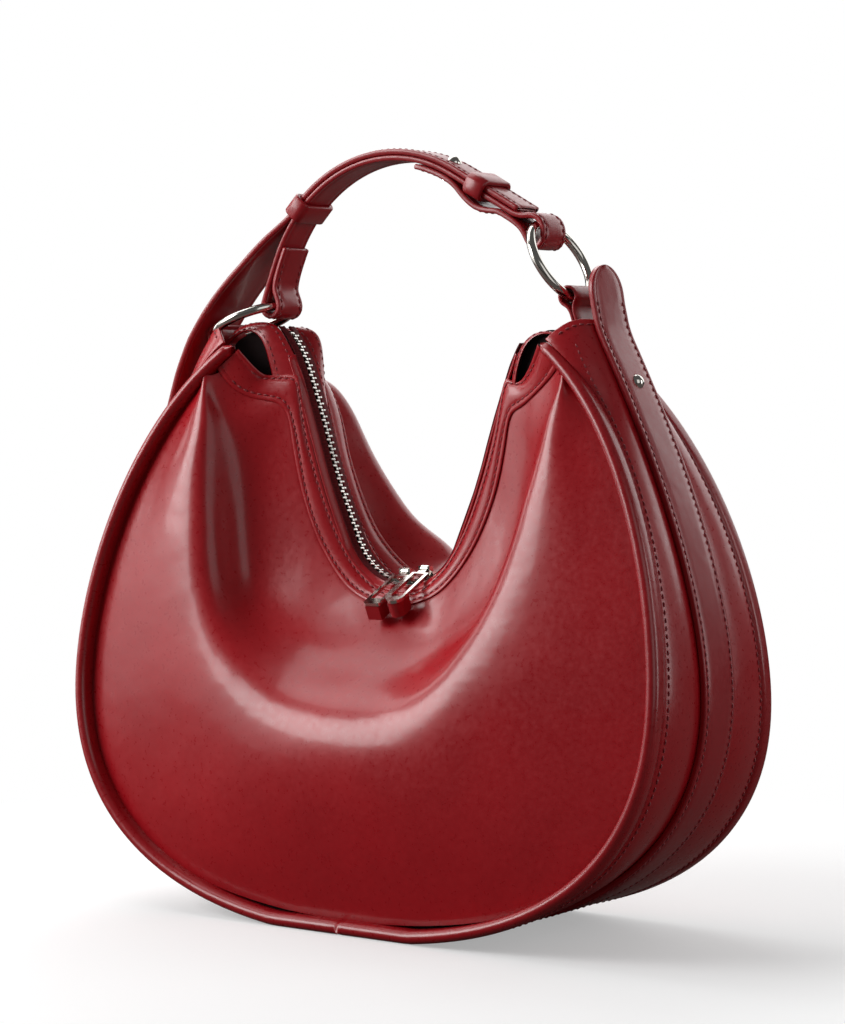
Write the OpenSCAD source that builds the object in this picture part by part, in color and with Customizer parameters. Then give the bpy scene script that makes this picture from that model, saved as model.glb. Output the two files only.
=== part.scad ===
// Half-moon shoulder bag in smooth leather, with a short arched handle, two rings,
// a belt that runs round the gusset and becomes the handle's upper ply, and a two-way zip.
// +X is the bag's right, -Y its front and +Z up. The bag stands on z = 0.

/* [Bag body] */
// Half width of the bag, over the rolled rims
bag_half_w = 150; // [140:1:160]
// Height of the horns, where the rolled rims end
horn_z = 251; // [240:1:262]
// Half depth of the bag at its base, over the rolled rims
base_half_d = 53.8; // [50:0.1:58]
// How much shallower each side is at the reference height
side_taper = 23; // [18:0.5:26]
// Height at which the taper is stated
taper_z = 222; // [210:1:240]
// Thickness of the panel and gusset leather
leather_t = 1.6; // [1.2:0.1:2]
// Thickness of the lining
lining_t = 0.8; // [0.5:0.1:1]

/* [Rolled rims] */
// Width of a rolled rim, seen from the front
rim_w = 5.6; // [4:0.1:7]
// Depth of a rolled rim, from its crest to the stitched valley
rim_d = 9; // [7:0.5:11]
// How far the panel seam lies behind the rim's crest
seam_drop = 7; // [5:0.5:8]

/* [Belt and handle] */
// Width of the belt round the gusset
belt_w = 24; // [20:1:27]
// Thickness of the belt
belt_t = 2.6; // [2:0.1:3.2]
// How far the belt stands out beyond the rims at the bag's sides
belt_proud = 4; // [3.2:0.2:6]
// Height of the tip of the belt's loose right end
tongue_z = 280.5; // [276:0.5:286]
// Width of the handle strap
strap_w = 17; // [14:1:19]
// Thickness of one ply of the handle
ply_t = 2.4; // [2:0.1:2.6]
// Outer radius of the handle's arch
arch_r = 70.5; // [68:0.5:72]
// Height of the centre of the handle's arch
arch_z = 261.8; // [259:0.2:265]
// Width of a keeper along the strap
keeper_w = 8; // [6:0.5:9]
// Thickness of a keeper's leather
keeper_t = 1.6; // [1.2:0.1:2]

/* [Rings and studs] */
// Outer diameter of the rings
ring_od = 40; // [38:0.5:42]
// Diameter of the ring wire
wire_d = 4; // [3:0.2:4.4]
// Diameter of a stud's head
stud_d = 6.4; // [5:0.2:8]
// Height of a stud's head
stud_h = 2.2; // [1.6:0.1:3]

/* [Zip] */
// Radius of the zip's curve at the bottom of the mouth
zip_r = 30; // [28:0.5:32]
// Height of the zip at the bottom of the mouth
zip_low_z = 144.6; // [140:0.2:150]
// Pitch of the teeth on one tape
tooth_pitch = 3; // [2.5:0.25:4]
// Length of a slider
slider_l = 11; // [9:0.5:12]
// Length of a pull's metal frame
pull_l = 29; // [24:0.5:30]

/* [Hidden] */

// Clearance between pieces that lie on each other
lie_gap = 0.3;
// Clearance between bodies that move past each other
move_gap = 0.4;
// Radial clearance of a pin in its bore
pin_gap = 0.08;
// Overrun of cuts
over = 1;

// Numbers of steps along a rim, across a panel and per span of a smoothed line
rim_steps = 30;
panel_steps = 20;
span_steps = 4;

// The rim crest as shares of the half width and the horn height, two Bezier arcs
crest_shares = [
    [0, -0.008], [0.587, -0.008], [1, 0.143], [1, 0.414],
    [1, 0.598], [0.84, 0.857], [0.547, 1]
];
// The belt's outer face, in the same shares
belt_shares = [
    [0, -0.008], [0.587, -0.008], [1, 0.143], [1, 0.414],
    [1, 0.598], [0.827, 0.837], [0.66, 1.028]
];

function mix(a, b, t) = a * (1 - t) + b * t;
function bezier(p, t) =
    p[0] * pow(1 - t, 3) + p[1] * 3 * pow(1 - t, 2) * t + p[2] * 3 * (1 - t) * t * t + p[3] * t * t * t;
function scaled(p, w, h) = [for (q = p) [q[0] * w, q[1] * h]];
function two_arcs(p, s) = s < 1
    ? bezier([p[0], p[1], p[2], p[3]], s)
    : bezier([p[3], p[4], p[5], p[6]], s - 1);
function right_crest(s) =
    let (q = two_arcs(scaled(crest_shares, bag_half_w, horn_z), s)) [q[0], max(0, q[1])];
function right_belt(s) =
    let (q = two_arcs(scaled(belt_shares, bag_half_w + belt_proud, horn_z), s)) [q[0], max(0, q[1])];
// A point on the crest line at station s, from -2 at the left horn to 2 at the right one
function crest(s) = let (q = right_crest(abs(s))) [s < 0 ? -q[0] : q[0], q[1]];
function belt_line(s) = let (q = right_belt(abs(s))) [s < 0 ? -q[0] : q[0], q[1]];
station_step = 0.02;
function unit(v) = v / norm(v);
function outward(a, b) = let (d = unit(b - a)) [d[1], -d[0]];
function crest_out(s) = outward(crest(max(-2, s - station_step)), crest(min(2, s + station_step)));
function belt_out(s) = outward(belt_line(max(-2, s - station_step)), belt_line(min(2, s + station_step)));
function crest_in(s, d) = crest(s) - crest_out(s) * d;
function belt_in(s, d) = belt_line(s) - belt_out(s) * d;
function half_depth(z) = base_half_d - side_taper * pow(z / taper_z, 2);

// A smooth line through points, by the Catmull-Rom rule
function spline_at(p, i, t) =
    let (n = len(p) - 1, a = p[max(0, i - 1)], b = p[i], c = p[min(n, i + 1)], d = p[min(n, i + 2)])
    (b * 2 + (c - a) * t + (a * 2 - b * 5 + c * 4 - d) * t * t + (b * 3 - a - c * 3 + d) * t * t * t) / 2;
function spline(p, steps) =
    concat([for (i = [0:len(p) - 2], k = [0:steps - 1]) spline_at(p, i, k / steps)], [p[len(p) - 1]]);
// The point at share u of a smooth line
function along(p, u) =
    let (n = len(p) - 1, x = min(max(u, 0), 1) * n, i = min(floor(x), n - 1)) spline_at(p, i, x - i);

// A band of thickness t about a flat line of points: both edges as one outline
function side_of(p, i) =
    let (n = len(p) - 1, d = unit(p[min(n, i + 1)] - p[max(0, i - 1)])) [-d[1], d[0]];
function band(p, t) = concat(
    [for (i = [0:len(p) - 1]) p[i] + side_of(p, i) * t / 2],
    [for (i = [len(p) - 1:-1:0]) p[i] - side_of(p, i) * t / 2]);

// A flat outline in x and z, extruded over a width w centred on y = 0
module across(w) {
    rotate([90, 0, 0]) linear_extrude(height = w, center = true) children();
}

// A solid sheet of thickness t beside a grid of points; a negative t lies on the other side
function cell_out(g, i, j) =
    let (m = len(g) - 1, n = len(g[0]) - 1,
        a = g[min(i + 1, m)][j] - g[max(i - 1, 0)][j],
        b = g[i][min(j + 1, n)] - g[i][max(j - 1, 0)])
    unit(cross(a, b));
function under(g, d) =
    [for (i = [0:len(g) - 1]) [for (j = [0:len(g[0]) - 1]) g[i][j] - cell_out(g, i, j) * d]];
module sheet(g, t) {
    m = len(g);
    n = len(g[0]);
    h = under(g, t);
    size = m * n;
    function at(i, j) = i * n + j;
    points = concat([for (row = g, q = row) q], [for (row = h, q = row) q]);
    function quad(a, b, c, d) = t > 0 ? [[a, c, b], [a, d, c]] : [[a, b, c], [a, c, d]];
    faces = [
        for (i = [0:m - 2], j = [0:n - 2]) each quad(at(i, j), at(i + 1, j), at(i + 1, j + 1), at(i, j + 1)),
        for (i = [0:m - 2], j = [0:n - 2]) each quad(size + at(i, j), size + at(i, j + 1),
            size + at(i + 1, j + 1), size + at(i + 1, j)),
        for (i = [0:m - 2]) each quad(at(i, 0), size + at(i, 0), size + at(i + 1, 0), at(i + 1, 0)),
        for (i = [0:m - 2]) each quad(at(i + 1, n - 1), size + at(i + 1, n - 1),
            size + at(i, n - 1), at(i, n - 1)),
        for (j = [0:n - 2]) each quad(at(0, j + 1), size + at(0, j + 1), size + at(0, j), at(0, j)),
        for (j = [0:n - 2]) each quad(at(m - 1, j), size + at(m - 1, j),
            size + at(m - 1, j + 1), at(m - 1, j + 1))
    ];
    polyhedron(points, faces, convexity = 8);
}

// Front surface of the bag, right half, as guide lines of [x, depth, z] shares:
// x of the half width, depth of the base half depth, z of the horn height
function guide(shares) = [for (q = shares) [q[0] * bag_half_w, -q[1] * base_half_d, q[2] * horn_z]];
mouth_shares = [
    [0, 0.142, 0.565], [0.055, 0.142, 0.568], [0.107, 0.143, 0.587], [0.16, 0.145, 0.615],
    [0.215, 0.145, 0.665], [0.27, 0.145, 0.74], [0.32, 0.143, 0.835], [0.352, 0.143, 0.915],
    [0.375, 0.152, 0.938], [0.44, 0.185, 0.938], [0.475, 0.25, 0.945], [0.52, 0.37, 0.985]
];
facing_low_shares = [
    [0, 0.255, 0.54], [0.085, 0.245, 0.549], [0.165, 0.228, 0.572], [0.24, 0.208, 0.62],
    [0.3, 0.197, 0.68], [0.345, 0.188, 0.75], [0.372, 0.188, 0.82], [0.39, 0.188, 0.868],
    [0.43, 0.213, 0.89], [0.5, 0.265, 0.898], [0.555, 0.34, 0.918], [0.592, 0.39, 0.949]
];
slope_shares = [
    [0, 0.62, 0.44], [0.14, 0.6, 0.445], [0.26, 0.56, 0.47], [0.36, 0.52, 0.51],
    [0.44, 0.47, 0.56], [0.48, 0.42, 0.63], [0.5, 0.38, 0.71], [0.515, 0.37, 0.79],
    [0.54, 0.39, 0.845], [0.57, 0.42, 0.875], [0.59, 0.43, 0.905], [0.603, 0.43, 0.945]
];
ridge_shares = [
    [0, 1.02, 0.35], [0.2, 1, 0.365], [0.35, 0.955, 0.41], [0.46, 0.89, 0.48],
    [0.53, 0.82, 0.57], [0.56, 0.75, 0.66], [0.575, 0.68, 0.745], [0.585, 0.62, 0.815],
    [0.595, 0.56, 0.865], [0.605, 0.52, 0.895], [0.612, 0.485, 0.918], [0.613, 0.455, 0.942]
];
bulge_shares = [
    [0, 1.05, 0.2], [0.3, 1.03, 0.21], [0.5, 0.98, 0.27], [0.65, 0.92, 0.37],
    [0.745, 0.85, 0.47], [0.765, 0.78, 0.58], [0.74, 0.71, 0.68], [0.705, 0.64, 0.765],
    [0.67, 0.57, 0.835], [0.648, 0.525, 0.88], [0.632, 0.49, 0.91], [0.622, 0.465, 0.939]
];
// The back is fuller: from the facing it runs level to a shoulder, and turns down from there
back_low_shares = [
    [0, 0.36, 0.582], [0.06, 0.36, 0.59], [0.117, 0.36, 0.609], [0.17, 0.355, 0.638],
    [0.217, 0.35, 0.675], [0.262, 0.345, 0.729], [0.305, 0.34, 0.795], [0.338, 0.35, 0.859],
    [0.4, 0.37, 0.922], [0.467, 0.4, 0.937], [0.533, 0.4, 0.945], [0.592, 0.39, 0.949]
];
shoulder_shares = [
    [0, 0.81, 0.612], [0.06, 0.81, 0.632], [0.118, 0.79, 0.655], [0.177, 0.77, 0.68],
    [0.225, 0.745, 0.711], [0.275, 0.71, 0.753], [0.325, 0.67, 0.803], [0.366, 0.62, 0.855],
    [0.415, 0.575, 0.897], [0.485, 0.54, 0.927], [0.55, 0.5, 0.944], [0.6, 0.43, 0.948]
];
back_ridge_shares = [
    [0, 1, 0.478], [0.167, 0.995, 0.486], [0.3, 0.975, 0.51], [0.413, 0.94, 0.55],
    [0.507, 0.89, 0.605], [0.56, 0.835, 0.67], [0.58, 0.78, 0.733], [0.593, 0.715, 0.793],
    [0.603, 0.65, 0.845], [0.61, 0.575, 0.885], [0.613, 0.52, 0.916], [0.613, 0.475, 0.94]
];
seam_station_shares = [0, 0.17, 0.3, 0.42, 0.52, 0.6, 0.68, 0.765, 0.84, 0.885, 0.918, 0.945];
seam_gap = 1.2;
seam_guide = [for (s = seam_station_shares)
    let (q = crest_in(2 * s, rim_w + seam_gap)) [q[0], seam_drop - half_depth(q[1]), q[1]]];
panel_guides = [for (k = [0:len(seam_station_shares) - 1]) [
    for (g = [guide(facing_low_shares), guide(slope_shares), guide(ridge_shares),
        guide(bulge_shares), seam_guide]) g[k]]];
facing_guides = [for (k = [0:len(seam_station_shares) - 1]) [
    for (g = [guide(mouth_shares), guide(facing_low_shares)]) g[k]]];
back_guides = [for (k = [0:len(seam_station_shares) - 1]) [
    for (g = [guide(back_low_shares), guide(shoulder_shares), guide(back_ridge_shares),
        guide(bulge_shares), seam_guide]) g[k]]];
back_facing_guides = [for (k = [0:len(seam_station_shares) - 1]) [
    for (g = [guide(mouth_shares), guide(back_low_shares)]) g[k]]];

function mirrored_x(p) = [-p[0], p[1], p[2]];
// A row across the guides at share u of the way up, mirrored to the left for u below zero
function row_at(guides, u, lo, hi, steps) =
    let (rails = [for (j = [0:len(guides[0]) - 1]) along([for (k = guides) k[j]], abs(u))],
        row = [for (v = [0:steps]) along(rails, mix(lo, hi, v / steps))])
    [for (q = row) u < 0 ? mirrored_x(q) : q];
function front_grid(guides, lo, hi, steps_u, steps_v) =
    [for (k = [-steps_u:steps_u]) row_at(guides, k / steps_u, lo, hi, steps_v)];
module to_back() { mirror([0, 1, 0]) children(); }

// The panel starts under the facing's edge and ends at the rim seam
panel_start_share = 0.012;
panel_rows = 12;
panel_end_share = 0.943;
function panel_grid(guides) = [for (k = [-panel_steps:panel_steps])
    row_at(guides, panel_end_share * k / panel_steps, panel_start_share, 1, panel_rows)];
front_net = panel_grid(panel_guides);
back_net = panel_grid(back_guides);
module front_panel() { color("#9c1a24") sheet(front_net, -leather_t); }
module back_panel() { color("#9c1a24") to_back() sheet(back_net, -leather_t); }

// The facing: the stitched strip along the mouth, up to the horn's corner
facing_t = 1.2;
facing_end_share = 0.97;
module facing(guides) {
    sheet([for (k = [-panel_steps:panel_steps])
        row_at(guides, facing_end_share * k / panel_steps, 0, 1, 3)], -facing_t);
}
module front_facing() { color("#8f1620") facing(facing_guides); }
module back_facing() { color("#8f1620") to_back() facing(back_facing_guides); }

// The rim's section as shares of its width (inwards) and depth (backwards)
rim_section_shares = [
    [0, 0.36], [0.12, 0.1], [0.5, 0], [0.88, 0.1], [1, 0.36], [1, 1], [0.5, 1.02], [0, 1]
];
rim_end_share = 0.985;
module rim() {
    ring = len(rim_section_shares);
    rows = [for (k = [-rim_steps:rim_steps]) let (s = 2 * rim_end_share * k / rim_steps, c = crest(s))
        [for (q = rim_section_shares) let (p = crest_in(s, q[0] * rim_w))
            [p[0], q[1] * rim_d - half_depth(c[1]), max(0, p[1])]]];
    last = len(rows) - 1;
    faces = [
        for (i = [0:last - 1], j = [0:ring - 1]) each let (a = i * ring + j, b = i * ring + (j + 1) % ring)
            [[a, b, a + ring], [b, b + ring, a + ring]],
        [for (j = [ring - 1:-1:0]) j],
        [for (j = [0:ring - 1]) last * ring + j]
    ];
    polyhedron([for (r = rows, q = r) q], faces, convexity = 8);
}
module front_rim() { color("#a31c27") rim(); }
module back_rim() { color("#a31c27") to_back() rim(); }

// The gusset: a band from valley to valley, passing under the belt.
// Each column is [share of the way from valley to belt, bulge share, side].
gusset_bulge = 1.2;
valley_drop = 0.8;
gusset_columns_shares = [
    [0, 0, -1], [0.4, 1, -1], [0.8, 0.7, -1], [1, 0, -1], [1, 0, 0],
    [1, 0, 1], [0.8, 0.7, 1], [0.4, 1, 1], [0, 0, 1]
];
gusset_end_share = 0.985;
left_end_share = 0.965;
// The right end rises towards the belt's tongue from this station on
gusset_rise = 8;
rise_from = 1.5;
function along_belt(s) = let (n = belt_out(s)) [-n[1], n[0]];
function gusset_point(s, c, d) =
    let (v = crest_in(s, valley_drop + d), b = belt_in(s, belt_t + lie_gap + d),
        rise = s > 0 ? gusset_rise * c[0] * pow(max(0, s - rise_from) / (2 - rise_from), 2) : 0,
        p = mix(v, b, c[0]) + crest_out(s) * gusset_bulge * c[1] + along_belt(s) * rise,
        y = mix(half_depth(crest(s)[1]) - rim_d - lie_gap, belt_w / 2, c[0]))
    [p[0], c[2] * y, p[1]];
function gusset_grid(d, end, steps) =
    [for (k = [-steps:steps]) let (s = 2 * (k < 0 ? min(end, left_end_share) : end) * k / steps)
        [for (c = gusset_columns_shares) gusset_point(s, c, d)]];
module gusset() { color("#8f1620") sheet(gusset_grid(0, gusset_end_share, rim_steps), -leather_t); }

// Base board and lining lie inside the gusset
board_t = 1.5;
board_end_share = 0.16;
board_drop = leather_t + lie_gap;
module base_board() { color("#6f6a62") sheet(gusset_grid(board_drop, board_end_share, 8), -board_t); }
lining_drop = board_drop + board_t + lie_gap;
lining_end_share = 0.83;
module lining_gusset() { color("#4a0f14") sheet(gusset_grid(lining_drop, lining_end_share, 16), -lining_t); }
lining_back_off = leather_t + 3 * lie_gap;
// The lining ends this many columns before the horns
lining_inset = 3;
function some_of(g, i0, i1, j0, j1) = [for (i = [i0:i1]) [for (j = [j0:j1]) g[i][j]]];
module lining_side(net) {
    sheet(some_of(under(net, -lining_back_off), lining_inset, 2 * panel_steps - lining_inset,
        0, panel_rows - 1), -lining_t);
}
module lining_front() { color("#4a0f14") lining_side(front_net); }
module lining_back() { color("#4a0f14") to_back() lining_side(back_net); }

// Belt centre line: tongue tip, right side, base, left side, and up to the split at the horn
belt_stations = 48;
tongue_lean = 3;
function belt_mid(s) = belt_in(s, belt_t / 2);
tongue_top = [belt_mid(2)[0] - tongue_lean, tongue_z];
// The left end stands off the horn, where the handle pulls it out
left_pull = 9;
pull_from = 1.15;
pull_to = 1.9;
left_belt_last = 1.86;
function pulled(s) = belt_mid(-s) - [left_pull * pow(max(0, s - pull_from) / (pull_to - pull_from), 2), 0];
belt_path = concat(
    [tongue_top],
    [for (k = [belt_stations:-1:-belt_stations * pull_from / 2]) belt_mid(2 * k / belt_stations)],
    [for (k = [1:9]) pulled(mix(pull_from, left_belt_last, k / 9))]);

// The handle and the belt tail bend at one line along X above the horns
bend_drop = 3;
bend_z = horn_z - bend_drop;
tail_half_w = 14.8;
function knuckle_r(half_w) = half_w + move_gap;
module knuckle(r) {
    translate([0, 0, bend_z]) rotate([0, 90, 0])
        cylinder(r = r, h = 4 * bag_half_w, center = true, $fn = 96);
}
module above_bend() {
    translate([-2 * bag_half_w, -bag_half_w, bend_z]) cube([4 * bag_half_w, 2 * bag_half_w, bag_half_w]);
}
// The belt starts to widen towards its split this far below the bend line
widen_share = 0.4;

module belt() {
    round_z = tongue_z - belt_w / 2;
    color("#8c1620") difference() {
        intersection() {
            across(2 * tail_half_w) polygon(band(belt_path, belt_t));
            union() {
                translate([-2 * bag_half_w, -belt_w / 2, -over])
                    cube([4 * bag_half_w, belt_w, round_z + over]);
                translate([0, 0, round_z]) rotate([0, 90, 0])
                    cylinder(r = belt_w / 2, h = 4 * bag_half_w, center = true, $fn = 64);
                rotate([90, 0, -90]) linear_extrude(height = 2 * bag_half_w) polygon([
                    [-belt_w / 2, bend_z * (1 - widen_share)], [belt_w / 2, bend_z * (1 - widen_share)],
                    [tail_half_w, bend_z], [-tail_half_w, bend_z]]);
            }
        }
        intersection() {
            knuckle(knuckle_r(tail_half_w) + move_gap);
            translate([-2 * bag_half_w, -bag_half_w, 0]) cube([2 * bag_half_w, 2 * bag_half_w, tongue_z]);
        }
        at_belt_stud() cylinder(r = post_r + pin_gap, h = 3 * belt_t, center = true, $fn = 32);
    }
}

// A slip pocket sewn to the back lining
pocket_columns = 5;
pocket_off = lining_back_off + lining_t + lie_gap;
module slip_pocket() {
    color("#4a0f14") to_back() sheet(some_of(under(back_net, -pocket_off),
        panel_steps - pocket_columns, panel_steps + pocket_columns,
        panel_rows / 2, panel_rows - 2), -lining_t);
}

// Handle: an arch, then a straight run down to the right ring
arch_x = -5.2;
arch_left = -52;
arch_end = 29;
run_dir = [cos(arch_end), -sin(arch_end)];
function on_arch(r, a) = [arch_x + r * sin(a), arch_z + r * cos(a)];
function on_run(r, l) = on_arch(r, arch_end) + run_dir * l;
function arc_points(r, a0, a1, n) = [for (k = [0:n]) on_arch(r, mix(a0, a1, k / n))];
function about(c, r, a0, a1, n) = [for (k = [0:n]) let (a = mix(a0, a1, k / n)) c + r * [cos(a), sin(a)]];
top_ply_r = arch_r - ply_t / 2;
ply_step = ply_t + lie_gap;
main_ply_r = top_ply_r - ply_step;
turned_ply_r = main_ply_r - ply_step;
run_l = 37;

// Rings: the right one stands leaning inwards, the left one lies nearly flat
wire_r = wire_d / 2;
ring_r = (ring_od - wire_d) / 2;
right_lean = 30;
left_tilt = 22;
right_tab_share = [0.574, 1.06295];
left_tab_share = [-0.68467, 1.00757];
right_tab_wire = [right_tab_share[0] * bag_half_w, right_tab_share[1] * horn_z];
left_tab_wire = [left_tab_share[0] * bag_half_w, left_tab_share[1] * horn_z];
right_ring_dir = [-sin(right_lean), cos(right_lean)];
left_ring_dir = [cos(left_tilt), sin(left_tilt)];
right_ring_at = right_tab_wire + right_ring_dir * ring_r;
left_ring_at = left_tab_wire + left_ring_dir * ring_r;
right_top_wire = right_ring_at + right_ring_dir * ring_r;
left_top_wire = left_ring_at + left_ring_dir * ring_r;
module ring(at, turn) {
    color("#c9c9cc") translate([at[0], 0, at[1]]) rotate([0, turn, 0])
        rotate_extrude($fn = 96) translate([ring_r, 0]) circle(r = wire_r, $fn = 24);
}
module ring_right() { ring(right_ring_at, 90 - right_lean); }
module ring_left() { ring(left_ring_at, -left_tilt); }

// A loop's bore holds the wire, which curves across the width of the loop
wire_sag = ring_r - sqrt(ring_r * ring_r - strap_w * strap_w / 4);
wire_slant = wire_r * (ring_r / (ring_r - wire_sag) - 1);
loop_r = wire_r + wire_sag / 2 + wire_slant + lie_gap / 2;
tab_ply_t = 1.2;
module ring_tab(wire, ring_dir, foot_x) {
    c = wire + ring_dir * wire_sag / 2;
    foot = [foot_x, bend_z];
    foot_r = knuckle_r(strap_w / 2);
    strip_dir = unit(foot - c);
    color("#8c1620") intersection() {
        across(strap_w) difference() {
            union() {
                translate(c) circle(r = loop_r + tab_ply_t, $fn = 64);
                polygon(band([c, foot, foot + strip_dir * 2 * foot_r], 2 * tab_ply_t + lie_gap));
            }
            translate(c) circle(r = loop_r, $fn = 64);
        }
        union() {
            above_bend();
            knuckle(foot_r);
        }
    }
}
right_foot_share = 0.62667;
left_foot_share = -0.65067;
right_foot_x = right_foot_share * bag_half_w;
left_foot_x = left_foot_share * bag_half_w;
module ring_tab_right() { ring_tab(right_tab_wire, right_ring_dir, right_foot_x); }
module ring_tab_left() { ring_tab(left_tab_wire, left_ring_dir, left_foot_x); }

// The tab's root part, sewn flat inside the gusset below the horn
function gusset_inside(s, d) = belt_in(s, belt_t + lie_gap + d);
anchor_turn_shares = [0.1, 0.45];
anchor_stations = [1.76, 1.71, 1.66];
module tab_anchor(foot_x, side, strip_dir) {
    top_z = bend_z - knuckle_r(strap_w / 2) - move_gap;
    seat = leather_t + 2 * lie_gap + tab_ply_t / 2;
    top = [side * foot_x, bend_z] + strip_dir * (bend_z - top_z);
    down = gusset_inside(anchor_stations[0], seat);
    path = spline(concat(
        [[side * foot_x, bend_z], top],
        [for (q = anchor_turn_shares) [mix(top[0], down[0], q), mix(top[1], down[1], sqrt(q))]],
        [for (s = anchor_stations) gusset_inside(s, seat)]), span_steps);
    color("#5d0f16") mirror([side < 0 ? 1 : 0, 0, 0]) difference() {
        across(strap_w) polygon(band(path, tab_ply_t));
        knuckle(knuckle_r(strap_w / 2) + move_gap);
        translate([0, -bag_half_w, bend_z - over]) cube([2 * bag_half_w, 2 * bag_half_w, horn_z]);
    }
}
module tab_anchor_right() {
    tab_anchor(right_foot_x, 1, unit([right_foot_x, bend_z] - right_tab_wire));
}
module tab_anchor_left() {
    tab_anchor(left_foot_x, -1, [0.2, -1]);
}

// Studs: a domed head on a post through the plies
post_r = 1.5;
handle_stud_a = 24;
module stud(grip) {
    sphere_r = (pow(stud_d / 2, 2) + stud_h * stud_h) / (2 * stud_h);
    intersection() {
        translate([0, 0, stud_h - sphere_r]) sphere(r = sphere_r, $fn = 48);
        cylinder(r = stud_d / 2, h = stud_h, $fn = 48);
    }
    translate([0, 0, -grip]) cylinder(r = post_r, h = grip + stud_h / 4, $fn = 32);
}
module at_handle_stud(r) {
    translate([arch_x, 0, arch_z]) rotate([0, handle_stud_a, 0]) translate([0, 0, r]) children();
}
stud_lift = 0.1;
handle_grip = 3 * ply_t + 2 * lie_gap + stud_lift;
module handle_stud() {
    color("#c9c9cc") at_handle_stud(arch_r + stud_lift) {
        stud(handle_grip + stud_lift);
        translate([0, 0, -handle_grip - stud_lift - stud_h / 2])
            cylinder(r = stud_d / 2, h = stud_h / 2, $fn = 48);
    }
}
belt_stud_s = 1.83;
module at_belt_stud() {
    q = belt_line(belt_stud_s);
    n = belt_out(belt_stud_s);
    translate([q[0], 0, q[1]]) rotate([0, 90 - atan2(n[1], n[0]), 0]) children();
}
module belt_stud() { color("#c9c9cc") at_belt_stud() translate([0, 0, stud_lift]) stud(belt_t); }

// The belt tail: it leaves the horn, narrows and runs along the handle as its upper ply
tail_shares = [
    [-0.7385, 1], [-0.6953, 1.0359], [-0.6473, 1.0717], [-0.5927, 1.1056], [-0.532, 1.1394], [-0.474, 1.1732]
];
tail_path = concat(
    [belt_path[len(belt_path) - 1] - [belt_t, belt_t * 2]],
    [belt_path[len(belt_path) - 1]],
    spline(concat([for (q = tail_shares) [q[0] * bag_half_w, q[1] * horn_z]],
        [on_arch(top_ply_r, arch_left)]), span_steps),
    arc_points(top_ply_r, arch_left + 3, arch_end, 26),
    [on_run(top_ply_r, run_l)]);
// Half widths of the tail in plan: [x share, half width share of the tail's widest]
tail_plan_shares = [[-0.9, 0.97], [-0.69, 1], [-0.59, 0.94], [-0.52, 0.87], [-0.465, 0.76]];
module tail_plan() {
    right = [for (q = tail_plan_shares) [q[0] * bag_half_w, q[1] * tail_half_w]];
    end_x = on_run(top_ply_r, run_l)[0] + over;
    strap = [[on_arch(top_ply_r, arch_left + 3)[0], strap_w / 2], [end_x, strap_w / 2]];
    half = concat(right, strap);
    linear_extrude(height = 2 * horn_z)
        polygon(concat(half, [for (i = [len(half) - 1:-1:0]) [half[i][0], -half[i][1]]]));
}
module belt_tail() {
    color("#8c1620") difference() {
        intersection() {
            across(2 * tail_half_w) polygon(band(tail_path, ply_t));
            tail_plan();
            union() {
                knuckle(knuckle_r(tail_half_w));
                above_bend();
            }
        }
        at_handle_stud(arch_r) cylinder(r = post_r + pin_gap, h = 2 * ply_step, center = true, $fn = 32);
    }
}

// The handle strap: one strap folded round both rings, its ends turned back under itself.
// Points near a ring are shares of the fold's radius, from the wire it holds.
hold_r = loop_r + ply_t / 2;
fold_r = hold_r - wire_slant;
left_main_shares = [[-0.45, 1.6], [0.2, 3.3], [0.97, 5.2]];
left_turned_shares = [[1.9, 5.8], [1.56, 5.05], [0.84, 3.25], [0.48, 1.75], [0.74, 1]];
right_fold_shares = [
    [-1.2, 0.81], [-0.57, 0.84], [0.05, 0.79], [0.72, 0.43], [1.15, -0.36], [1.15, -1.29], [0.72, -2.04],
    [0.14, -2.19], [-0.43, -1.76], [-1.11, -0.57], [-1.92, 0.16]
];
// The turned end bulges under the right keeper: [share of the straight run, drop in plies]
bulge_run_shares = [
    [0.85, 0], [0.76, 0.1], [0.66, 0.75], [0.56, 1.33], [0.445, 1.54], [0.333, 1.3], [0.235, 0.92],
    [0.14, 0.4], [0.04, 0.08]
];
module handle_strap() {
    wl = left_top_wire - left_ring_dir * wire_sag / 2;
    wr = right_top_wire;
    path = concat(
        spline(concat([for (q = left_turned_shares) wl + fold_r * q],
            about(wl, hold_r, 22, 5, 1)), span_steps),
        about(wl, hold_r, -10, -175, 14),
        spline(concat([for (q = left_main_shares) wl + fold_r * q], [on_arch(main_ply_r, -62)]), span_steps),
        arc_points(main_ply_r, -60, arch_end, 36),
        [on_run(main_ply_r, run_l / 2)],
        spline(concat([for (q = [0.9, 0.98]) on_run(main_ply_r, run_l * q)],
            [for (q = right_fold_shares) wr + fold_r * q],
            [for (q = bulge_run_shares) on_run(turned_ply_r - q[1] * ply_t, q[0] * run_l)],
            [on_arch(turned_ply_r, 27)]), span_steps),
        arc_points(turned_ply_r, 26, 12, 8));
    color("#8c1620") difference() {
        across(strap_w) polygon(band(path, ply_t));
        at_handle_stud(main_ply_r - ply_step / 2)
            cylinder(r = post_r + pin_gap, h = 3 * ply_step, center = true, $fn = 32);
    }
}

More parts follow.
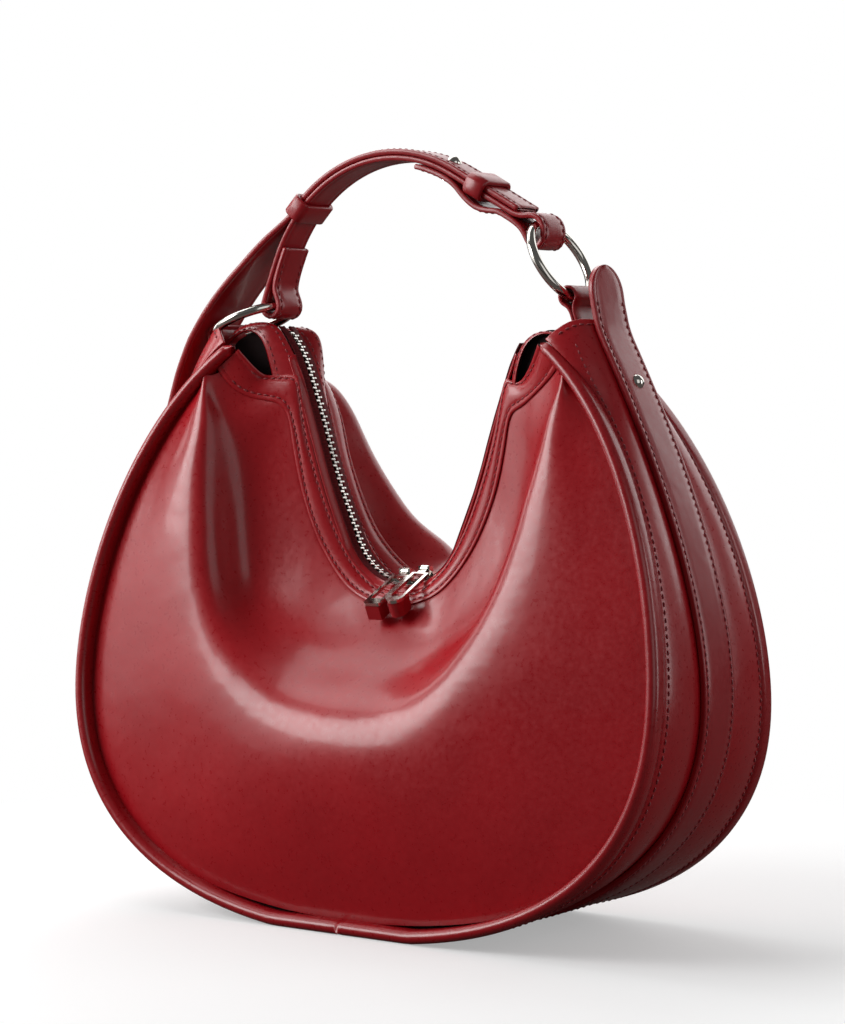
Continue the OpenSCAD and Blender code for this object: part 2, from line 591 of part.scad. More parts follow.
// A keeper: a flat loop round the two upper plies
keeper_left_a = -46.5;
keeper_right_l = 14;
module keeper() {
    stack = 2 * ply_t + lie_gap;
    inner_h = stack + 2 * lie_gap;
    inner_w = strap_w + 2 * lie_gap;
    color("#7d121b") translate([0, 0, -stack / 2]) difference() {
        cube([keeper_w, inner_w + 2 * keeper_t, inner_h + 2 * keeper_t], center = true);
        cube([keeper_w + over, inner_w, inner_h], center = true);
    }
}
module keeper_left() {
    translate([arch_x, 0, arch_z]) rotate([0, keeper_left_a, 0]) translate([0, 0, arch_r]) keeper();
}
module keeper_right() {
    q = on_run(arch_r, keeper_right_l);
    translate([q[0], 0, q[1]]) rotate([0, arch_end, 0]) keeper();
}

// Zip path: an arc at the bottom of the mouth, two straight legs, ends bent outwards
leg_a = 70;
leg_l = 80;
zip_at = [0, zip_low_z + zip_r];
zip_end_shares = [[0.12, 0.24], [0.26, 0.44], [0.4, 0.58]];

leg_foot = zip_at + zip_r * [sin(leg_a), -cos(leg_a)];
leg_top = leg_foot + leg_l * [cos(leg_a), sin(leg_a)];
half_zip = concat(
    [for (k = [0:14]) let (a = leg_a * k / 14) zip_at + zip_r * [sin(a), -cos(a)]],
    [for (k = [1:7]) mix(leg_foot, leg_top, k / 7)],
    [for (q = zip_end_shares) leg_top + q * zip_r]);
zip_path = concat([for (i = [len(half_zip) - 1:-1:1]) [-half_zip[i][0], half_zip[i][1]]], half_zip);
tape_t = 0.6;
tape_in = 2.05;
tape_out = 5;
module tape(side) {
    color("#7d121b") translate([0, side * (tape_in + tape_out) / 2, 0])
        across(tape_out - tape_in) polygon(band(zip_path, tape_t));
}
module zip_tape_front() { tape(-1); }
module zip_tape_back() { tape(1); }
// The mouth strip: leather between the tape and the facing, flaring at the horns
strip_t = 0.9;
strip_in = tape_out + lie_gap;
strip_h = 1.6;
strip_stations = [0, 0.1, 0.2, 0.3, 0.4, 0.53, 0.66, 0.78, 0.85, 0.92, 0.985];
strip_flare_shares = [[0.4, 0.108, 0.942], [0.475, 0.13, 0.985], [0.53, 0.15, 1.012]];
strip_flare = guide(strip_flare_shares);
function zip_at_share(u) = along(half_zip, u);
function zip_out(u) = outward(zip_at_share(max(0, u - station_step)), zip_at_share(u + station_step));
strip_last = len(strip_stations) - 1;
strip_plain = strip_last - len(strip_flare);
strip_guides = [for (k = [0:strip_last])
    let (u = strip_stations[k], q = zip_at_share(u), e = q + zip_out(u) * strip_h)
    [[q[0], -strip_in, q[1]], k > strip_plain ? strip_flare[k - strip_plain - 1] : [e[0], -strip_in, e[1]]]];
module strip() { sheet(front_grid(strip_guides, 0, 1, panel_steps, 2), strip_t); }
module front_placket() { color("#7d121b") strip(); }
module back_placket() { color("#7d121b") to_back() strip(); }

// Teeth: small blocks at a steady pitch along the path, one row for each tape
tooth_w = tooth_pitch * 0.43;
tooth_h = 2.2;
tooth_in = 0.6;
tooth_out = 1.95;
function lengths(p) =
    [for (i = 0, s = 0; i < len(p); s = s + (i < len(p) - 1 ? norm(p[i + 1] - p[i]) : 0), i = i + 1) s];
zip_lengths = lengths(zip_path);
zip_l = zip_lengths[len(zip_lengths) - 1];
function spans_below(s) = [for (i = [0:len(zip_lengths) - 2]) if (zip_lengths[i] <= s) i];
module teeth(side) {
    count = floor((zip_l - 3 * tooth_pitch) / tooth_pitch);
    first = (zip_l - count * tooth_pitch) / 2 + (side > 0 ? tooth_pitch / 2 : 0);
    color("#c9c9cc") for (k = [0:count - 1]) {
        s = first + k * tooth_pitch;
        below = spans_below(s);
        i = below[len(below) - 1];
        d = unit(zip_path[i + 1] - zip_path[i]);
        q = zip_path[i] + d * (s - zip_lengths[i]);
        translate([q[0], side * (tooth_out - tooth_in) / 2, q[1]]) rotate([0, -atan2(d[1], d[0]), 0])
            cube([tooth_w, tooth_in + tooth_out, tooth_h], center = true);
    }
}
module zip_teeth_front() { teeth(-1); }
module zip_teeth_back() { teeth(1); }

// Sliders: curved plates above and below the chain, with a level bail for the pull
left_park = 4.2;
right_park = -20.3;
plate_t = 1;
plate_gap = 0.4;
slider_w = 6.4;
lip_w = 0.8;
bail_lift = 5.6;
bail_r = 0.7;
eye_r = 1.7;
eye_l = 3.6;
shoulder_share = 2.4;
ear_t = 1;
module zip_arc(angle) {
    translate([0, 0, zip_at[1]]) rotate([90, 0, 0])
        rotate([0, 0, -90 - angle / 2]) rotate_extrude(angle = angle, $fn = 180) children();
}
module slider_plate(dir) {
    inner = tooth_h / 2 + plate_gap;
    lip = tape_t / 2 + lie_gap;
    span = slider_l / zip_r * 180 / PI;
    zip_arc(span) difference() {
        translate([zip_r + dir * (lip + inner + plate_t) / 2, 0])
            square([inner + plate_t - lip, slider_w], center = true);
        translate([zip_r + dir * inner / 2, 0]) square([inner, slider_w - 2 * lip_w], center = true);
    }
}
module at_bail(park) {
    translate([0, 0, zip_at[1]]) rotate([0, park, 0]) translate([0, 0, bail_lift - zip_r])
        rotate([0, -park, 0]) children();
}
module slider(park) {
    ear_at = eye_l / 2 + pin_gap + ear_t / 2;
    color("#c9c9cc") {
        translate([0, 0, zip_at[1]]) rotate([0, park, 0]) translate([0, 0, -zip_at[1]]) {
            slider_plate(-1);
            slider_plate(1);
        }
        at_bail(park) {
            rotate([0, 90, 0]) cylinder(r = bail_r, h = 2 * ear_at, center = true, $fn = 32);
            for (side = [-1, 1]) intersection() {
                translate([side * ear_at - ear_t / 2, -2 * bail_r, -bail_lift])
                    cube([ear_t, 4 * bail_r, bail_lift + 2 * bail_r]);
                translate([0, 0, zip_r - bail_lift]) rotate([90, 0, 0])
                    cylinder(r = zip_r - tooth_h / 2 - plate_gap - plate_t / 2, h = slider_w,
                        center = true, $fn = 180);
            }
        }
    }
}
module slider_left() { slider(left_park); }
module slider_right() { slider(right_park); }

// Pulls: a metal frame hung from the bail, with leather at its end
pull_slope = 26;
pull_w = 8.6;
pull_t = 1.4;
pull_bar = 1.5;
leather_h = 6.5;
module pull_frame(park, round_end) {
    corner = round_end ? pull_w / 2 : pull_bar;
    color("#c9c9cc") at_bail(park) rotate([pull_slope, 0, 0]) difference() {
        union() {
            rotate([0, 90, 0]) cylinder(r = eye_r, h = eye_l, center = true, $fn = 32);
            translate([-eye_l / 2, -eye_r - 2 * pull_bar, -pull_t / 2])
                cube([eye_l, eye_r + 2 * pull_bar, pull_t]);
            translate([0, 0, -pull_t / 2]) linear_extrude(height = pull_t) difference() {
                union() {
                    translate([-pull_w / 2, corner - pull_l])
                        square([pull_w, pull_l - corner - shoulder_share * eye_r]);
                    for (side = [-1, 1]) translate([side * (pull_w / 2 - corner), corner - pull_l])
                        circle(r = corner, $fn = 48);
                    translate([corner - pull_w / 2, -pull_l])
                        square([max(pull_w - 2 * corner, lie_gap), corner]);
                }
                translate([pull_bar - pull_w / 2, 3 * pull_bar - pull_l])
                    square([pull_w - 2 * pull_bar, pull_l - 4 * pull_bar - 2 * eye_r]);
            }
        }
        rotate([0, 90, 0]) cylinder(r = bail_r + pin_gap, h = 2 * eye_l, center = true, $fn = 32);
    }
}
module pull_frame_left() { pull_frame(left_park, false); }
module pull_frame_right() { pull_frame(right_park, true); }
module pull_leather(park, length, round_end) {
    w = pull_w - pull_bar;
    color("#7d121b") at_bail(park) rotate([pull_slope, 0, 0])
        translate([0, 0, -pull_t / 2 - lie_gap - leather_h]) linear_extrude(height = leather_h) {
            inset = round_end ? w / 2 : 0;
            translate([-w / 2, inset - pull_l]) square([w, length - inset]);
            if (round_end) translate([0, inset - pull_l]) circle(r = w / 2, $fn = 48);
        }
}
left_leather_share = 0.22;
right_leather_share = 0.3;
module pull_leather_left() { pull_leather(left_park, pull_l * left_leather_share, false); }
module pull_leather_right() { pull_leather(right_park, pull_l * right_leather_share, true); }

front_panel();
back_panel();
front_rim();
back_rim();
gusset();
belt();
belt_tail();
front_facing();
back_facing();
front_placket();
back_placket();
zip_tape_front();
zip_tape_back();
zip_teeth_front();
zip_teeth_back();
slider_left();
slider_right();
pull_frame_left();
pull_frame_right();
pull_leather_left();
pull_leather_right();
tab_anchor_left();
tab_anchor_right();
ring_tab_left();
ring_tab_right();
ring_left();
ring_right();
handle_strap();
keeper_left();
keeper_right();
belt_stud();
handle_stud();
lining_front();
lining_back();
lining_gusset();
base_board();
slip_pocket();
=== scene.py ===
# %% [markdown]
# # A half-moon shoulder bag in glossy red leather
# The bag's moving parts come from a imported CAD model. This notebook loads that
# model as a fixed frame and dresses it: smooth leather surfaces, rolled rims,
# thread, a metal zip and nickel fittings, all worked out with numpy in millimetres.

# %% Load the frame
import functools
import math

import bmesh
import bpy
import numpy as np
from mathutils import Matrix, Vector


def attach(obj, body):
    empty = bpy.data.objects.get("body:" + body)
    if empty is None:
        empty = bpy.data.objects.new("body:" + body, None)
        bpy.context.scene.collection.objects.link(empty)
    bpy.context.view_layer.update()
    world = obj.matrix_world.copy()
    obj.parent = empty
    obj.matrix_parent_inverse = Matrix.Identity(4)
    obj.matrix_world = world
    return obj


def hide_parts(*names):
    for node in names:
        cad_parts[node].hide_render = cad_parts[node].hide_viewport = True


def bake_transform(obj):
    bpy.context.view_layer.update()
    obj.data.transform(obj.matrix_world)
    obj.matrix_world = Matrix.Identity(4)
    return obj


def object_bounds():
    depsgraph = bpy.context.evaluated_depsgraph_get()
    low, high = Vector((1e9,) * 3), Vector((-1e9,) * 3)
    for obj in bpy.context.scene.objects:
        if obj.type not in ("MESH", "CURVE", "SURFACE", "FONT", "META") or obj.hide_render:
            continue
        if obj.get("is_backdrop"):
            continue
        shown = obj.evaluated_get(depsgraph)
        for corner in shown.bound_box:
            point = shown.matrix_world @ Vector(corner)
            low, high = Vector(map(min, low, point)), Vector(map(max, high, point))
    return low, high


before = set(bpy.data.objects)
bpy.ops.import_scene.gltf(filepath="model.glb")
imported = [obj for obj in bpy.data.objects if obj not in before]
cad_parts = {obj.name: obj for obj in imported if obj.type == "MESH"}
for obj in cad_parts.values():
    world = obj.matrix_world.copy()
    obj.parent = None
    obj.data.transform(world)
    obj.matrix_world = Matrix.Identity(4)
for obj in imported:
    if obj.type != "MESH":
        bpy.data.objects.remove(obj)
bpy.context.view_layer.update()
scene = bpy.context.scene
METRES = 0.001  # one millimetre in the scene's unit

# %% [markdown]
# ## Camera
# A short telephoto lens about 1.2 m away keeps the lobes from bulging. The place,
# height and lens were solved so that rings, belt and rims land where they are seen.
# They could be tried by eye, but one slip in the distance bends every line.

# %% Camera at the product's three-quarter view
AZIMUTH, ELEVATION, DISTANCE = math.radians(35.34), math.radians(2.675), 1230.23
TARGET = np.array([4.48, 3.17, 176.18])
to_camera = np.array([
    math.sin(AZIMUTH) * math.cos(ELEVATION),
    -math.cos(AZIMUTH) * math.cos(ELEVATION),
    math.sin(ELEVATION),
])
camera = bpy.data.objects.new("studio_camera", bpy.data.cameras.new("studio_camera"))
scene.collection.objects.link(camera)
camera.data.lens = 99.95
camera.data.sensor_width = 36
camera.location = (TARGET + to_camera * DISTANCE) * METRES
camera.rotation_euler = (math.pi / 2 - ELEVATION, 0, AZIMUTH)
camera.data.clip_start, camera.data.clip_end = 0.05, 30
scene.camera = camera
print("camera at", [round(x, 3) for x in camera.location])

# %% [markdown]
# ## Colours and nodes
# Colours are written as sRGB hex values, as read off a swatch, and one function turns
# them to the linear values that the renderer works in. A material's nodes could be
# joined by hand in the editor; here one small function adds a node with its links, so
# that each material can be read as text.

# %% Colour and node helpers
WHITE = (1, 1, 1, 1)


def colour(hex_text):
    """Linear RGBA of an sRGB hex colour: a value below 0.04045 is divided by 12.92, and any
    other v becomes ((v + 0.055) / 1.055) ^ 2.4."""
    v = np.array([int(hex_text[i:i + 2], 16) for i in (1, 3, 5)]) / 255
    linear = np.where(v <= 0.04045, v / 12.92, ((v + 0.055) / 1.055) ** 2.4)
    return (*linear.tolist(), 1.0)


def add_node(tree, kind, inputs=None, **settings):
    """One node. Settings are its properties; inputs maps a socket to a value, to another node's
    output, or to a node, which gives its first output."""
    made = tree.nodes.new("ShaderNode" + kind)
    for name, value in settings.items():
        setattr(made, name, value)
    for name, value in (inputs or {}).items():
        if isinstance(value, bpy.types.Node):
            value = value.outputs[0]
        if isinstance(value, bpy.types.NodeSocket):
            tree.links.new(value, made.inputs[name])
        else:
            made.inputs[name].default_value = value
    return made


def new_material(name):
    """A material, what adds nodes to it, and the object coordinates that its patterns use."""
    made = bpy.data.materials.new(name)
    made.use_nodes = True
    made.node_tree.nodes.clear()
    node = functools.partial(add_node, made.node_tree)
    return made, node, node("TexCoord").outputs["Object"]


print("a mid red is", [round(v, 3) for v in colour("#b1101c")])

# %% [markdown]
# ## Studio
# Product shots of glossy leather use large soft boxes: their reflections draw the
# long pale streaks that show the form. The floor and backdrop are white to the camera
# and a calmer grey to the bag, so the leather keeps its depth. Stronger lamps would
# whiten the floor too, but bleach the leather, so the Light Path node tells the
# camera's rays from all others.

# %% Floor, backdrop and world
def white_stage(name, bounce_hex, near_white, near, far):
    """Matt floor: the camera sees lit white near the bag, where its shadow falls, and plain
    white further out; one fades into the other between the distances near and far."""
    made, node, place = new_material(name)
    rays = node("LightPath")
    reach = node("VectorMath", {0: place}, operation="LENGTH")
    white = node("MapRange", {
        "Value": reach.outputs["Value"], "From Min": near, "From Max": far,
        "To Min": near_white, "To Max": 1.0})
    matt = node("BsdfDiffuse", {"Color": colour(bounce_hex)})
    bright = node("BsdfDiffuse", {"Color": WHITE})
    glow = node("Emission", {"Color": WHITE, "Strength": 1.0})
    lit = node("MixShader", {0: white, 1: bright, 2: glow})
    both = node("MixShader", {0: rays.outputs["Is Camera Ray"], 1: matt, 2: lit})
    node("OutputMaterial", {"Surface": both})
    return made


FLOOR_REACH = 6  # metres each way
floor_corners = [(x * FLOOR_REACH, y * FLOOR_REACH, 0)
                 for x, y in ((-1, -1), (1, -1), (1, 1), (-1, 1))]
floor_mesh = bpy.data.meshes.new("studio_floor")
floor_mesh.from_pydata(floor_corners, [], [(0, 1, 2, 3)])
floor_mesh.materials.append(white_stage("matt_white_floor", "#5f5856", 0.36, 0.22, 0.4))
floor = bpy.data.objects.new("studio_floor", floor_mesh)
scene.collection.objects.link(floor)
floor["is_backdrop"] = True

world = bpy.data.worlds.new("studio_world")
world.use_nodes = True
scene.world = world
world.node_tree.nodes.clear()
sky = functools.partial(add_node, world.node_tree)
soft_sky = sky("Background", {"Color": WHITE, "Strength": 0.1})
seen_sky = sky("Background", {"Color": WHITE, "Strength": 1.0})
seen = sky("LightPath").outputs["Is Camera Ray"]
sky("OutputWorld", {"Surface": sky("MixShader", {0: seen, 1: soft_sky, 2: seen_sky})})
scene.view_settings.view_transform = "Standard"
print("floor", 2 * FLOOR_REACH, "m wide")

# %% [markdown]
# **Lamps.** The key stands high at the front left: it draws the left lobe's highlight
# and the pale ridge under the mouth. The strip and the wash beside it and the boxes
# on the right, above and behind fill the rest and outline the rims and rings. Small
# lamps or a sky picture could light the bag as well, but only large area lamps leave
# the straight, soft-edged streaks that real boxes do.

# %% Soft boxes
SOFT_BOXES = {  # place, aim and size in millimetres, and watts
    "key_box": ((-930, -900, 760), (-30, -20, 150), (900, 760), 16),
    "left_strip": ((-1150, -60, 330), (-60, -20, 140), (180, 900), 1.8),
    "left_wash": ((-1040, -680, 250), (-40, -40, 120), (800, 460), 1.4),
    "right_box": ((1050, -420, 560), (90, 0, 170), (650, 900), 1.6),
    "side_box": ((1100, 560, 380), (120, 20, 150), (420, 700), 2.2),
    "top_box": ((-620, 200, 1080), (-40, 0, 130), (1200, 900), 9),
    "back_box": ((-100, 1100, 760), (0, 0, 170), (1700, 1000), 8)}
for name, (place, aim, size, watts) in SOFT_BOXES.items():
    lamp = bpy.data.lights.new(name, "AREA")
    lamp.shape, lamp.energy = "RECTANGLE", watts
    lamp.size, lamp.size_y = size[0] * METRES, size[1] * METRES
    box = bpy.data.objects.new(name, lamp)
    scene.collection.objects.link(box)
    back = np.subtract(place, aim) / np.linalg.norm(np.subtract(place, aim))
    box.location = np.array(place) * METRES
    box.rotation_euler = (math.pi / 2 - math.asin(back[2]), 0, math.atan2(back[0], -back[1]))
print("lamps", len(SOFT_BOXES))

# %% [markdown]
# ## Materials
# **Smooth calf leather, aniline dyed and waxed.** The eye reads a deep red body
# colour, a soft clear gloss from the wax, faint pores about 1 mm apart, and slow
# colour changes a few centimetres long where the hide took the dye unevenly. Pictures
# of real hide would have seams and one fixed sharpness; noise in object coordinates
# has neither, and keeps its size in millimetres.

# %% Leather
CLOUD_MM, WAVE_MM, GRAIN_PER_PORE = 45, 16, 2.6
WAVE_DEPTH, PORE_DEPTH = 0.3 * METRES, 0.02 * METRES


def leather(name, body_hex, deep_hex, gloss, pore_mm=0.8):
    """Dyed calf: two reds mixed by slow noise, pores from fine noise, a clear wax coat."""
    made, node, place = new_material(name)
    cloud = node("TexNoise", {
        "Vector": place, "Scale": 1000 / CLOUD_MM, "Detail": 4.0, "Roughness": 0.5})
    tone = node("MapRange", {"Value": cloud, "From Min": 0.2, "From Max": 0.8})
    body = node("Mix", {0: tone, 6: colour(deep_hex), 7: colour(body_hex)}, data_type="RGBA")
    pores = node("TexNoise", {"Vector": place, "Scale": 1000 / pore_mm, "Detail": 2.0})
    grain = node("TexNoise", {
        "Vector": place, "Scale": 1000 / (pore_mm * GRAIN_PER_PORE), "Detail": 3.0})
    speck = node("MapRange", {
        "Value": grain, "From Min": 0.35, "From Max": 0.65, "To Min": 0.95, "To Max": 1.03})
    dyed = node("Mix", {0: 1.0, 6: body.outputs[2], 7: speck},
                data_type="RGBA", blend_type="MULTIPLY")
    waves = node("TexNoise", {"Vector": place, "Scale": 1000 / WAVE_MM, "Detail": 2.0})
    low = node("Bump", {"Height": waves, "Distance": WAVE_DEPTH, "Strength": 1.0})
    fine = node("Bump", {
        "Height": pores, "Distance": PORE_DEPTH, "Strength": 0.7, "Normal": low})
    rough = node("MapRange", {
        "Value": grain, "From Min": 0.3, "From Max": 0.7,
        "To Min": gloss - 0.05, "To Max": gloss + 0.07})
    shader = node("BsdfPrincipled", {
        "Base Color": dyed.outputs[2], "Roughness": rough, "Normal": fine, "IOR": 1.5,
        "Coat Weight": 0.25, "Coat Roughness": 0.14, "Coat Normal": low})
    node("OutputMaterial", {"Surface": shader})
    return made


shell_leather = leather("waxed_calf_shell", "#b1101c", "#9e0d18", 0.31)
rim_leather = leather("waxed_calf_rims", "#a50f1a", "#930d17", 0.3)
strap_leather = leather("waxed_calf_straps", "#a4131e", "#931019", 0.34, pore_mm=0.7)
# A much darker copy of the calf for the tab anchors: painted shade.
shaded_calf = leather("calf_in_painted_shade", "#4a0a10", "#360509", 0.5)
# Dark red for cut edges: painted shade that draws the shadow line under the facing's and the flaps'
# raised edges.
painted_edge_shade = leather("painted_cut_edges", "#3d060b", "#2e0508", 0.4)
print("leathers", len(bpy.data.materials) - 1)

# %% [markdown]
# **Thread and cloth.** Bonded polyester thread, a shade darker than the leather; each
# stitch is its own small bar, so it needs only its twist, drawn at 0.8 mm so that it
# shows. Lining and zip tape are plain weaves: a matt, dark red with a thread's pitch.
# Woven as real threads they would take millions of faces, and two crossed waves give
# the same over and under.

# %% Thread, lining, tape
def twisted_thread(name, dark_hex, light_hex, twist_mm):
    """Dyed polyester thread: satin, with a fine twist across it; the lighter red along the twist is
    a painted highlight.
    """
    made, node, place = new_material(name)
    twist = node("TexWave", {"Vector": place, "Scale": 1000 / twist_mm},
                 bands_direction="DIAGONAL").outputs[1]
    bump = node("Bump", {"Height": twist, "Distance": 0.06 * METRES})
    # The twist mixes the dark red with a lighter one, a painted highlight on its crests.
    tone = node("Mix", {0: twist, 6: colour(dark_hex), 7: colour(light_hex)}, data_type="RGBA")
    shader = node("BsdfPrincipled", {
        "Base Color": tone.outputs[2], "Roughness": 0.45, "Normal": bump, "Sheen Weight": 0.2})
    node("OutputMaterial", {"Surface": shader})
    return made


def woven_cloth(name, warp_hex, weft_hex, thread_mm):
    """Plain weave: two crossed waves of the thread's pitch make its over and under."""
    made, node, place = new_material(name)
    waves = {"Vector": place, "Scale": 1000 / (thread_mm * 2) / 1.6, "Distortion": 0.4}
    warp, weft = (node("TexWave", waves, bands_direction=way).outputs[1] for way in "XZ")
    weave = node("Math", {0: warp, 1: weft}, operation="MULTIPLY")
    tone = node("Mix", {0: weave, 6: colour(weft_hex), 7: colour(warp_hex)}, data_type="RGBA")
    bump = node("Bump", {"Height": weave, "Distance": 0.15 * METRES})
    shader = node("BsdfPrincipled", {
        "Base Color": tone.outputs[2], "Roughness": 0.85, "Normal": bump,
        "Specular IOR Level": 0.25, "Sheen Weight": 0.03})
    node("OutputMaterial", {"Surface": shader})
    return made


# The second, lighter red is a painted highlight on the thread's twist.
red_thread = twisted_thread("polyester_thread", "#7d141d", "#a8343d", 0.8)
lining_cloth = woven_cloth("cotton_lining", "#24070a", "#150305", 0.5)
tape_cloth = woven_cloth("polyester_zip_tape", "#7c131c", "#520a11", 0.45)
print("materials", len(bpy.data.materials))

# %% [markdown]
# **Nickel and board.** Zinc castings and wire, plated and tumbled: a warm grey mirror
# with hairline scuffs, whose own colour sits near sRGB #d8d4cc. The base is stiffened
# with pressed fibre board, matt and grey. An even mirror looks drawn, so slow noise
# varies the metal's roughness as handling does.

# %% Metal and board
def nickel(name, tone_hex, rough):
    """Polished nickel plate: metal with a slight change of roughness from handling."""
    made, node, place = new_material(name)
    rub = node("TexNoise", {"Vector": place, "Scale": 1000 / 2.5, "Detail": 3.0})
    level = node("MapRange", {
        "Value": rub, "From Min": 0.3, "From Max": 0.7,
        "To Min": rough * 0.7, "To Max": rough * 1.6})
    bump = node("Bump", {"Height": rub, "Distance": 0.015 * METRES})
    shader = node("BsdfPrincipled", {
        "Base Color": colour(tone_hex), "Metallic": 1.0, "Roughness": level, "Normal": bump})
    node("OutputMaterial", {"Surface": shader})
    return made


def pressed_board(name, dark_hex, light_hex, fibre_mm):
    """Grey fibre board: matt, mottled by its short fibres."""
    made, node, place = new_material(name)
    fibre = node("TexNoise", {
        "Vector": place, "Scale": 1000 / fibre_mm, "Detail": 5.0})
    tone = node("Mix", {0: fibre, 6: colour(dark_hex), 7: colour(light_hex)}, data_type="RGBA")
    shader = node("BsdfPrincipled", {"Base Color": tone.outputs[2], "Roughness": 0.9})
    node("OutputMaterial", {"Surface": shader})
    return made


bright_nickel = nickel("polished_nickel", "#d6d2cb", 0.12)
tooth_nickel = nickel("nickel_zip_teeth", "#dcd8d2", 0.2)
base_fibre = pressed_board("pressed_fibre_board", "#4d4943", "#7b756c", 1.5)
print("materials", len(bpy.data.materials))

# %% [markdown]
# ## Lines and surfaces from arrays
# Every leather piece is a grid of points or a section carried along a line. These
# functions draw smooth lines through points and measure along them. Blender's curve
# objects could do part of this; arrays also know the distance along a line, and
# stitches, teeth and straps are spaced by it.

# %% Lines
def spline_rows(count, at):
    """Weights of a natural cubic spline through evenly spaced values: the second slopes M solve
    M[i-1] + 4 M[i] + M[i+1] = 6 (y[i-1] - 2 y[i] + y[i+1]); each span mixes its ends and Ms."""
    left = np.eye(count)
    right = np.zeros((count, count))
    for k, (a, b) in {-1: (1, 6), 0: (4, -12), 1: (1, 6)}.items():
        rows = np.arange(1, count - 1)
        left[rows, rows + k] = a
        right[rows, rows + k] = b
    slopes = np.linalg.solve(left, right)
    at = np.asarray(at, float)
    i = np.clip(np.floor(at).astype(int), 0, count - 2)
    t = (at - i)[:, None]
    unit = np.eye(count)
    return (unit[i] * (1 - t) + unit[i + 1] * t
            + slopes[i] * ((1 - t) ** 3 - (1 - t)) / 6 + slopes[i + 1] * (t ** 3 - t) / 6)


def through(points, steps):
    """A smooth line through points, with some steps per span: each span is the cubic whose
    slope at a point is half the way from the point before it to the one after it."""
    p = np.asarray(points, float)
    n = len(p) - 1
    i = np.repeat(np.arange(n), steps)
    t = np.tile(np.arange(steps) / steps, n)[:, None]
    a, b, c, d = p[np.maximum(i - 1, 0)], p[i], p[np.minimum(i + 1, n)], p[np.minimum(i + 2, n)]
    q = (2 * b + (c - a) * t + (2 * a - 5 * b + 4 * c - d) * t ** 2
         + (3 * b - a - 3 * c + d) * t ** 3) / 2
    return np.vstack([q, p[-1:]])


def unit_rows(v):
    """Each row divided by its length."""
    return v / np.maximum(np.linalg.norm(v, axis=-1, keepdims=True), 1e-9)


def lengths_along(line):
    """Distance from the start of a line to each of its points: the running sum of its steps."""
    return np.concatenate([[0], np.cumsum(np.linalg.norm(np.diff(line, axis=0), axis=1))])


def at_lengths(line, s):
    """Points of a line at the distances s from its start, in proportion between its own."""
    own = lengths_along(line)
    return np.stack([np.interp(s, own, line[:, k]) for k in range(line.shape[1])], 1)


def way_at(line, s, reach):
    """Unit directions of a line at the distances s: the point a reach further on, less the
    point a reach before, divided by its length."""
    return unit_rows(at_lengths(line, s + reach) - at_lengths(line, s - reach))


def smoothed(line, passes):
    """Each inner point moves a quarter of the way to each neighbour, some times over."""
    line = np.array(line, float)
    for _ in range(passes):
        line[1:-1] = (line[:-2] + 2 * line[1:-1] + line[2:]) / 4
    return line


def length_of(line):
    """A line's whole length."""
    return lengths_along(line)[-1]


def resampled(line, count, passes, cut=0):
    """Evenly spaced points along a line, less a cut at its end, smoothed some times over."""
    return smoothed(at_lengths(line, np.linspace(0, length_of(line) - cut, count)), passes)


def unit_at(angle):
    """Unit directions in the x-z plane at angles in radians from +x: cosine and sine."""
    return np.stack([np.cos(angle), np.sin(angle)], -1)


def left_of(way):
    """Directions in the x-z plane, turned a quarter to the left: (x, z) becomes (-z, x)."""
    return np.stack([-way[:, 1], way[:, 0]], 1)


def carried(line, out, y, h):
    """Section points over each point of an x-z line: the point plus h times out, at depth y."""
    xz = line[:, None] + out[:, None] * h[..., None]
    return np.stack(np.broadcast_arrays(xz[..., 0], y, xz[..., 1]), -1)


print("a spline's weights at its middle", spline_rows(5, [2.0]).round(2)[0])

# %% [markdown]
# **The bag's outline.** The lines repeat the CAD's own shares of the bag's size, so
# the pieces fit the frame. Stations run from -2 at the left horn, through 0 under the
# bag, to 2 at the right horn; the crest is the rolled rim's, the other the belt's. A
# row of points by hand would kink the highlights on the rim; two Bezier arcs a side
# are enough for the half moon and have a smooth normal everywhere.

# %% Outline
HALF_W, HORN_Z, BASE_D, TAPER, TAPER_Z = 151.8, 251.0, 53.8, 23.0, 222.0
CREST = np.array([[0, -0.008], [0.6, -0.008], [1, 0.13], [1, 0.414],
                  [1, 0.598], [0.858, 0.875], [0.54, 1]])
BELT = np.array([[0, -0.008], [0.587, -0.008], [1, 0.143], [1, 0.414],
                 [1, 0.598], [0.827, 0.837], [0.66, 1.028]])
BELT_HALF = 154.0


def two_arcs(table, width, s):
    """A pair of cubic Bezier arcs in x and z: |s| from 0 to 2 runs over both, x is mirrored
    for s below 0, and z stays above the floor. The corners' weights are (1 - t)^3,
    3 t (1 - t)^2, 3 t^2 (1 - t) and t^3."""
    p = table * [width, HORN_Z]
    a = np.abs(s)
    first = a < 1
    t = np.where(first, a, a - 1)[:, None]
    corners = [np.where(first[:, None], p[k], p[k + 3]) for k in range(4)]
    q = (corners[0] * (1 - t) ** 3 + 3 * corners[1] * t * (1 - t) ** 2
         + 3 * corners[2] * t ** 2 * (1 - t) + corners[3] * t ** 3)
    return np.stack([np.sign(s) * q[:, 0], np.maximum(q[:, 1], 0)], 1)


def rim_line(s):
    """The crest of the rolled rim in x and z at stations s from -2 to 2."""
    return two_arcs(CREST, HALF_W, np.asarray(s, float))


def belt_face(s):
    """The belt's outer face in x and z at the same stations."""
    return two_arcs(BELT, BELT_HALF, np.asarray(s, float))


def outward_of(line_at, s):
    """Unit normal of a station line, away from the bag: its direction, a quarter to the right."""
    s = np.asarray(s, float)
    step = line_at(np.minimum(s + 0.02, 2)) - line_at(np.maximum(s - 0.02, -2))
    return -left_of(unit_rows(step))


def half_depth(z):
    """Half the bag's depth at a height: the base's, less a taper by the height squared."""
    return BASE_D - TAPER * (z / TAPER_Z) ** 2


print("rim length", round(length_of(rim_line(np.linspace(-2, 2, 400))), 1), "mm")

